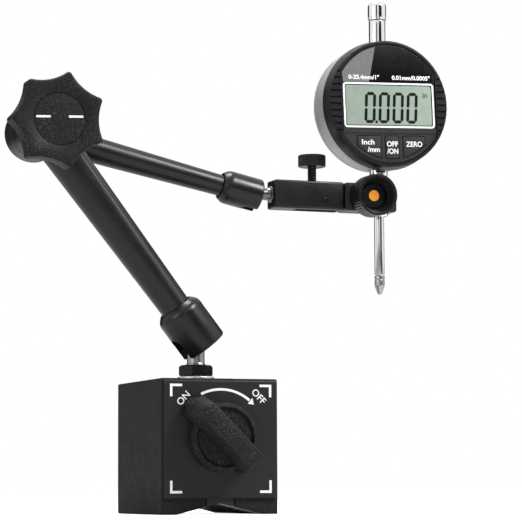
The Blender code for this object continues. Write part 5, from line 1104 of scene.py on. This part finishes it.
class STAND_OT_stem(bpy.types.Operator):
    """Stem, upper sleeve, dust cap, spindle and contact point"""

    bl_idname = "stand.stem"
    bl_label = "Stem and spindle"

    def execute(self, context):
        here = upright((STEM.x, STEM.y, 0))
        low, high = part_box("stem")
        outer, bore = 0.004, 0.0025
        profile = rounded([(outer, high.z), (outer, low.z), (bore, low.z), (bore, high.z)],
                          [0.0005, 0.0005, 0.0002, 0.0001], 5, closed=True)
        dress(turned("stem_tube", profile, here, 96, ring=True), "chrome", "indicator", "stem", slot="chrome")

        low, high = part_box("upper_sleeve")
        step = high.z - 0.0038
        profile = rounded([(0.0031, high.z), (0.0031, step), (0.0037, step), (0.0037, low.z), (bore, low.z),
                           (bore, high.z)], [0.0002, 0.0002, 0.0004, 0.0002, 0.0001, 0.0001], 5, closed=True)
        sleeve = turned("sleeve_tube", profile, here, 96, ring=True)
        dress(sleeve, "chrome", "indicator", "upper_sleeve", slot="chrome")

        low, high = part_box("dust_cap")
        neck_top = step + 0.0038
        profile = rounded([(0, high.z), (0.0041, high.z), (0.0041, low.z + 0.0012), (0.00385, low.z + 0.0010),
                           (0.00385, low.z + 0.0007), (0.0041, low.z + 0.0005), (0.0041, low.z), (0.0034, low.z),
                           (0.0034, neck_top + GAP), (bore, neck_top + GAP), (bore, high.z - 0.0012),
                           (0, high.z - 0.0012)],
                          [0, 0.0019, 0.0001, 0.0001, 0.0001, 0.0001, 0.0002, 0.0001, 0, 0, 0, 0], 9)
        dress(turned("dust_cap_shell", profile, here, 96), "chrome", "indicator", "dust_cap", slot="chrome")

        low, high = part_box("spindle")
        rod = (high.x - low.x) / 2
        profile = rounded([(0, high.z), (rod, high.z), (rod, low.z), (0.0014, low.z), (0.0014, low.z + 0.0033),
                           (0, low.z + 0.0033)], [0, 0.0003, 0.0002, 0.0001, 0, 0], 5)
        dress(turned("spindle_rod", profile, here, 72), "chrome", "spindle", "spindle", slot="chrome")

        low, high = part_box("contact_point")
        top = high.z - 0.003
        tip = 0.0012
        centre = low.z + tip
        angle = np.linspace(0.25, pi / 2, 14)
        end = np.column_stack([tip * np.cos(angle), centre - tip * np.sin(angle)])
        upper = rounded([(0, high.z), (0.0011, high.z), (0.0011, top), (0.0022, top), (0.0022, top - 0.0016),
                         (0.00205, top - 0.0018), (0.0022, top - 0.0020), (0.0022, top - 0.0044),
                         (0.0012, centre - 0.0002)],
                        [0, 0.0002, 0, 0.0002, 0.0001, 0.0001, 0.0001, 0.0005, 0], 6)
        profile = np.concatenate([upper, end])
        dress(turned("contact_tip", profile, here, 72), "point steel", "spindle", "contact_point", slot="carbide")
        return {"FINISHED"}


def disc_outline(radius, half_width, steps=64):
    """Disc with its left and right sides cut straight."""
    start = acos(half_width / radius)
    upper = arc(radius, start, pi - start, steps)
    return np.concatenate([upper, -upper])


def bay(top, radius, left=None, right=None, steps=32):
    """Part of a disc below a chord, between two upright sides where they are given."""
    chord = sqrt(radius ** 2 - top ** 2)
    x_left = -chord if left is None else left
    x_right = chord if right is None else right
    start = -acos(x_left / radius)
    end = -acos(x_right / radius)
    lower = arc(radius, start, end, steps)
    corners = [] if right is None else [(right, -top)]
    corners += [] if left is None else [(left, -top)]
    return np.concatenate([lower, corners]) if corners else lower


class STAND_OT_dial(bpy.types.Operator):
    """Bezel with its grip ribs, front panel and glossy label with its range words"""

    bl_idname = "stand.dial"
    bl_label = "Dial head"

    def execute(self, context):
        here = on_head(DIAL.y)
        front = DIAL.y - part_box("bezel_ring")[0].y
        front_radius, rear_radius, edge = 0.028, 0.0289, 0.0006
        recess, thick, sector_rise = 0.0004, 0.0018, 0.00004
        profile = rounded([(0, front), (front_radius, front), (rear_radius, 0), (0, 0)], [0, edge, 0.0003, 0], 6)
        ring = turned("dial_bezel", profile, here, 192)
        seat_low = front - recess - thick - GAP
        seat_cut = slab("seat", disc_outline(0.0266, 0.0226), seat_low, front + OVERRUN, here)
        opening = slab("opening", disc_outline(0.0251, 0.0217), -OVERRUN, front + OVERRUN, here)
        hollow = cylinder("hollow", 0.0245, -OVERRUN, 0.0039, here, 160)
        rows = 0.0011 + 0.0029 * (np.arange(10) - 4.5)
        grooves = [(side * 0.0265, z, front) for side in (-1, 1) for z in rows]
        grip = blocks("grip", grooves, (0.0070, 0.0010, 0.0013), here)
        carve(ring, seat_cut, opening, hollow, grip, smooth=30)
        dress(ring, "satin bezel", "display_head", "bezel_ring", slot="bezel")

        face = front - recess
        back = face - thick
        panel = slab("dial_panel", disc_outline(0.0263, 0.0223), back, face, here, edge=0.00015)
        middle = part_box("lcd_glass")
        lcd_z = (middle[0].z + middle[1].z) / 2 - DIAL.z
        tools = [slab("lcd_hole", window(0.0418, 0.0183, 0.0011, (0, lcd_z)), -OVERRUN / 2, front + OVERRUN, here),
                 slab("key_bay", bay(0.0131, 0.0255), face - 0.0003, front + OVERRUN, here)]
        for left, right in KEY_SPANS.values():
            tools.append(slab("key_hole", bay(0.0141, 0.0247, left - GAP, right + GAP), -OVERRUN / 2,
                              front + OVERRUN, here))
        carve(panel, *tools, smooth=30)
        dress(panel, "panel black", "display_head", "face_panel", slot="panel")

        high = face + PRINT
        edge_x, radius = 0.0219, 0.0260
        start = acos(edge_x / radius)
        bottom = lcd_z + 0.0100
        outline = np.concatenate([arc(radius, start, pi - start, 64), [(-edge_x, bottom), (edge_x, bottom)]])
        label = slab("dial_label", outline, face - PRINT, high, here, edge=0.00003)
        dress(label, "label gloss", "display_head")
        # Lighter grey sector with straight sides over the upper left of the glossy label, made as a piece of its own
        split = acos(-0.0057 / (radius - 0.0002))
        sector = np.concatenate([arc(radius - 0.0002, split, pi - start + 0.01, 32),
                                 [(-edge_x + 0.0003, bottom + 0.0002), (-0.0092, bottom + 0.0002)]])
        sector = slab("dial_label_sector", sector, face, high + sector_rise, here)
        dress(sector, "label grey", "display_head")
        pane = slab("display_pane", window(0.0412, 0.0177, 0.0008, (0, lcd_z)), DIAL.y - middle[1].y,
                    DIAL.y - middle[0].y, here, edge=0.00015)
        dress(pane, "display ground", "display_head", "lcd_glass", slot="lcd")
        frame_line = strip("display_border", window(0.0427, 0.0192, 0.0012, (0, lcd_z)), 0.0008, face - PRINT,
                           high, here, closed=True)
        dress(frame_line, "white print", "display_head")
        on_label = on_head(DIAL.y - high - sector_rise)
        capital, line_height = 0.0019, 0.0117
        for name, text, x, width in (("range_words", "0-25.4mm/1\"", -0.0117, 0.0146),
                                     ("step_words", "0.01mm/0.0005\"", 0.0110, 0.0184)):
            lettering(name, text, capital, (x, line_height), on_label, "white print", "display_head", width=width,
                      weight=0.03)
        return {"FINISHED"}


class STAND_OT_display(bpy.types.Operator):
    """Digits, point and unit on the display"""

    bl_idname = "stand.display"
    bl_label = "Display"

    def execute(self, context):
        sizes = context.scene.stand_sizes
        glass = on_head(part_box("lcd_glass")[0].y)
        width, tall, stroke, pitch = sizes.digit_width, sizes.digit_height, sizes.digit_stroke, sizes.digit_pitch
        foot, first, slant, bar_gap = -0.0087, -0.0122, 0.075, 0.00008
        w, h, s = width - stroke, tall - stroke, stroke
        mid = h / 2
        ends = np.array([((0, h), (w, h)), ((w, h), (w, mid)), ((w, mid), (w, 0)), ((w, 0), (0, 0)),
                         ((0, 0), (0, mid)), ((0, mid), (0, h))])
        a, b = ends[:, 0], ends[:, 1]
        along = (b - a) / np.linalg.norm(b - a, axis=1)[:, None]
        across = np.stack([-along[:, 1], along[:, 0]], 1)
        a, b = a + along * bar_gap, b - along * bar_gap
        bars = np.stack([a, a + (along + across) * s / 2, b + (across - along) * s / 2, b,
                         b - (across + along) * s / 2, a + (along - across) * s / 2], 1)
        starts = first + stroke / 2 + pitch * np.arange(4)
        digits = bars[None] + np.stack([starts, np.full(4, foot + s / 2)], 1)[:, None, None, :]
        digits = digits.reshape(-1, 6, 2)
        digits[..., 0] += slant * (digits[..., 1] - foot)
        item = prisms("display_digits", digits, -PRINT / 2, PRINT / 2, glass)
        dress(item, "display ink", "display_head")
        x = first + width + (pitch - width) / 2 - 0.0001
        point = slab("display_point", window(0.0011, 0.0012, 0.0002, (x, foot + 0.0006)), -PRINT / 2, PRINT / 2,
                     glass)
        dress(point, "display ink", "display_head")
        lettering("display_unit", "in", 0.0026, (0.0176, 0.0042), glass, "display grey ink", "display_head",
                  weight=0.02)
        return {"FINISHED"}


class STAND_OT_keys(bpy.types.Operator):
    """Three keys under the display, with their words"""

    bl_idname = "stand.keys"
    bl_label = "Keys"

    def execute(self, context):
        here = on_head(DIAL.y)
        capital = 0.0023
        for body, words in (
                ("button_units", (("Inch", -0.0109, -0.0170, 0.0060), ("/mm", -0.0084, -0.0203, 0.0058))),
                ("button_power", (("OFF", 0.0007, -0.0178, 0.0053), ("/ON", 0.0007, -0.0210, 0.0053))),
                ("button_zero", (("ZERO", 0.0112, -0.0178, 0.0078),))):
            left, right = KEY_SPANS[body]
            low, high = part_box(body)
            face, foot = DIAL.y - low.y, DIAL.y - high.y
            outline = bay(0.0144, 0.0244, left, right)
            key = slab(body + "_cap", outline, foot, face, here, edge=0.0003)
            dress(key, "key rubber", body, body, slot="key")
            on_key = on_head(low.y)
            for number, (text, x, z, wide) in enumerate(words):
                lettering(f"{body}_word_{number + 1}", text, capital, (x, z), on_key, "white print", body,
                          width=wide, weight=0.02)
        return {"FINISHED"}


class STAND_OT_stage(bpy.types.Operator):
    """Pale floor, soft light, white surroundings and the camera"""

    bl_idname = "stand.stage"
    bl_label = "Stage"

    def execute(self, context):
        scene = context.scene
        floor_glow, sky_diffuse, sky_seen = 0.86, 0.30, 1.0
        grid = np.array([[(-3, -3, 0), (3, -3, 0)], [(-3, 6, 0), (3, 6, 0)]], float)
        floor = piece("studio_floor", grid, [[0, 1, 3, 2]], Matrix())
        if floor.data.polygons[0].normal.z < 0:
            floor.data.flip_normals()
        look = bpy.data.materials.new("studio floor")
        look.use_nodes = True
        tree = look.node_tree
        tree.nodes.clear()
        path = tree.nodes.new("ShaderNodeLightPath")
        plain = tree.nodes.new("ShaderNodeBsdfDiffuse")
        spot = tree.nodes.new("ShaderNodeTexCoord")
        shade = tint(tree, (0.80, 0.80, 0.80), (0.84, 0.84, 0.84), noise(tree, spot.outputs["Object"], 3.0, 2))
        tree.links.new(shade, plain.inputs["Color"])
        glow = tree.nodes.new("ShaderNodeEmission")
        glow.inputs["Color"].default_value = (1, 1, 1, 1)
        tree.links.new(combine(tree, "MULTIPLY", path.outputs["Is Camera Ray"], floor_glow), glow.inputs["Strength"])
        both = tree.nodes.new("ShaderNodeAddShader")
        tree.links.new(plain.outputs[0], both.inputs[0])
        tree.links.new(glow.outputs[0], both.inputs[1])
        out = tree.nodes.new("ShaderNodeOutputMaterial")
        tree.links.new(both.outputs[0], out.inputs["Surface"])
        floor.data.materials.append(look)

        world = bpy.data.worlds.new("studio")
        scene.world = world
        world.use_nodes = True
        tree = world.node_tree
        tree.nodes.clear()
        path = tree.nodes.new("ShaderNodeLightPath")
        seen = combine(tree, "MAXIMUM", path.outputs["Is Camera Ray"],
                       combine(tree, "MAXIMUM", path.outputs["Is Glossy Ray"], path.outputs["Is Transmission Ray"]))
        sky = tree.nodes.new("ShaderNodeBackground")
        sky.inputs["Color"].default_value = (1, 1, 1, 1)
        tree.links.new(remap(tree, seen, 0.0, 1.0, sky_diffuse, sky_seen), sky.inputs["Strength"])
        out = tree.nodes.new("ShaderNodeOutputWorld")
        tree.links.new(sky.outputs[0], out.inputs["Surface"])

        for name, place, size, power in (("key_light", (0.55, -0.50, 0.80), 0.35, 12.0),
                                         ("fill_light", (-0.75, -0.30, 0.35), 0.25, 1.2),
                                         ("top_light", (-0.05, 0.15, 0.95), 0.30, 6.0)):
            light = bpy.data.lights.new(name, "AREA")
            light.size = size
            light.energy = power
            lamp = bpy.data.objects.new(name, light)
            scene.collection.objects.link(lamp)
            lamp.matrix_world = seat(place, Vector(place) - Vector((0, 0, 0.12)), (1, 0, 0))

        dark = bpy.data.materials.new("studio card")
        dark.use_nodes = True
        tree = dark.node_tree
        shader = tree.nodes["Principled BSDF"]
        shader.inputs["Roughness"].default_value = 0.9
        shader.inputs["Specular IOR Level"].default_value = 0.1
        spot = tree.nodes.new("ShaderNodeTexCoord").outputs["Object"]
        tree.links.new(tint(tree, (0.006, 0.006, 0.006), (0.012, 0.012, 0.012), noise(tree, spot, 2.0, 2)),
                       shader.inputs["Base Color"])
        distance, card_low, card_high, camera_side, columns = 1.2, -0.05, 0.70, -109.4, 24
        for number, (start, end) in enumerate(((22, 62), (124, 176), (-14, 2), (-176, -122))):
            angle = np.radians(camera_side + np.linspace(start, end, columns))
            around = [distance * np.cos(angle), distance * np.sin(angle)]
            rows = [np.column_stack([*around, np.full(len(angle), z)]) for z in (card_low, card_high)]
            card = piece(f"studio_card_{number + 1}", rows, skin(2, columns, close_columns=False), Matrix())
            card.data.materials.append(dark)
            card.visible_camera = card.visible_diffuse = card.visible_shadow = card.visible_transmission = False

        camera = bpy.data.cameras.new("camera")
        camera.sensor_width = 36
        camera.lens = 153.2
        camera.clip_start = 0.05
        camera.clip_end = 20
        view = bpy.data.objects.new("camera", camera)
        scene.collection.objects.link(view)
        azimuth, pitch, roll = radians(20.744), radians(5.771), radians(0.28)
        forward = Vector((sin(azimuth) * cos(pitch), cos(azimuth) * cos(pitch), sin(pitch)))
        level = Vector((cos(azimuth), -sin(azimuth), 0))
        up = level.cross(forward) * cos(roll) + level * sin(roll)
        turn = Matrix((forward.cross(up), up, -forward)).transposed()
        view.matrix_world = Matrix.Translation((-0.32098, -0.87259, 0.0116)) @ turn.to_4x4()
        scene.camera = view
        scene.view_settings.view_transform = "Standard"
        return {"FINISHED"}


STEPS = (STAND_OT_finishes, STAND_OT_base, STAND_OT_switch, STAND_OT_lower_arm, STAND_OT_upper_arm,
         STAND_OT_star_knob, STAND_OT_fine_adjuster, STAND_OT_clamp_knob,
         STAND_OT_indicator_body, STAND_OT_stem, STAND_OT_dial,
         STAND_OT_display, STAND_OT_keys, STAND_OT_stage)


class STAND_PT_steps(bpy.types.Panel):
    """Sizes, colours and building steps of the stand"""

    bl_label = "Magnetic stand"
    bl_space_type = "VIEW_3D"
    bl_region_type = "UI"
    bl_category = "Stand"

    def draw(self, context):
        for group in (context.scene.stand_sizes, context.scene.stand_colours):
            column = self.layout.column()
            for name in group.__annotations__:
                column.prop(group, name)
        column = self.layout.column()
        for step in STEPS:
            column.operator(step.bl_idname)


CLASSES = (StandSizes, StandColours, *STEPS, STAND_PT_steps)


def register():
    for item in CLASSES:
        bpy.utils.register_class(item)
    bpy.types.Scene.stand_sizes = PointerProperty(type=StandSizes)
    bpy.types.Scene.stand_colours = PointerProperty(type=StandColours)


def unregister():
    del bpy.types.Scene.stand_colours
    del bpy.types.Scene.stand_sizes
    for item in reversed(CLASSES):
        bpy.utils.unregister_class(item)


def main():
    """Run every step in order."""
    register()
    for step in STEPS:
        name = step.bl_idname.split(".")[1]
        if getattr(bpy.ops.stand, name)() != {"FINISHED"}:
            raise RuntimeError(f"{step.bl_label} didn't finish")


if __name__ == "__main__":
    main()
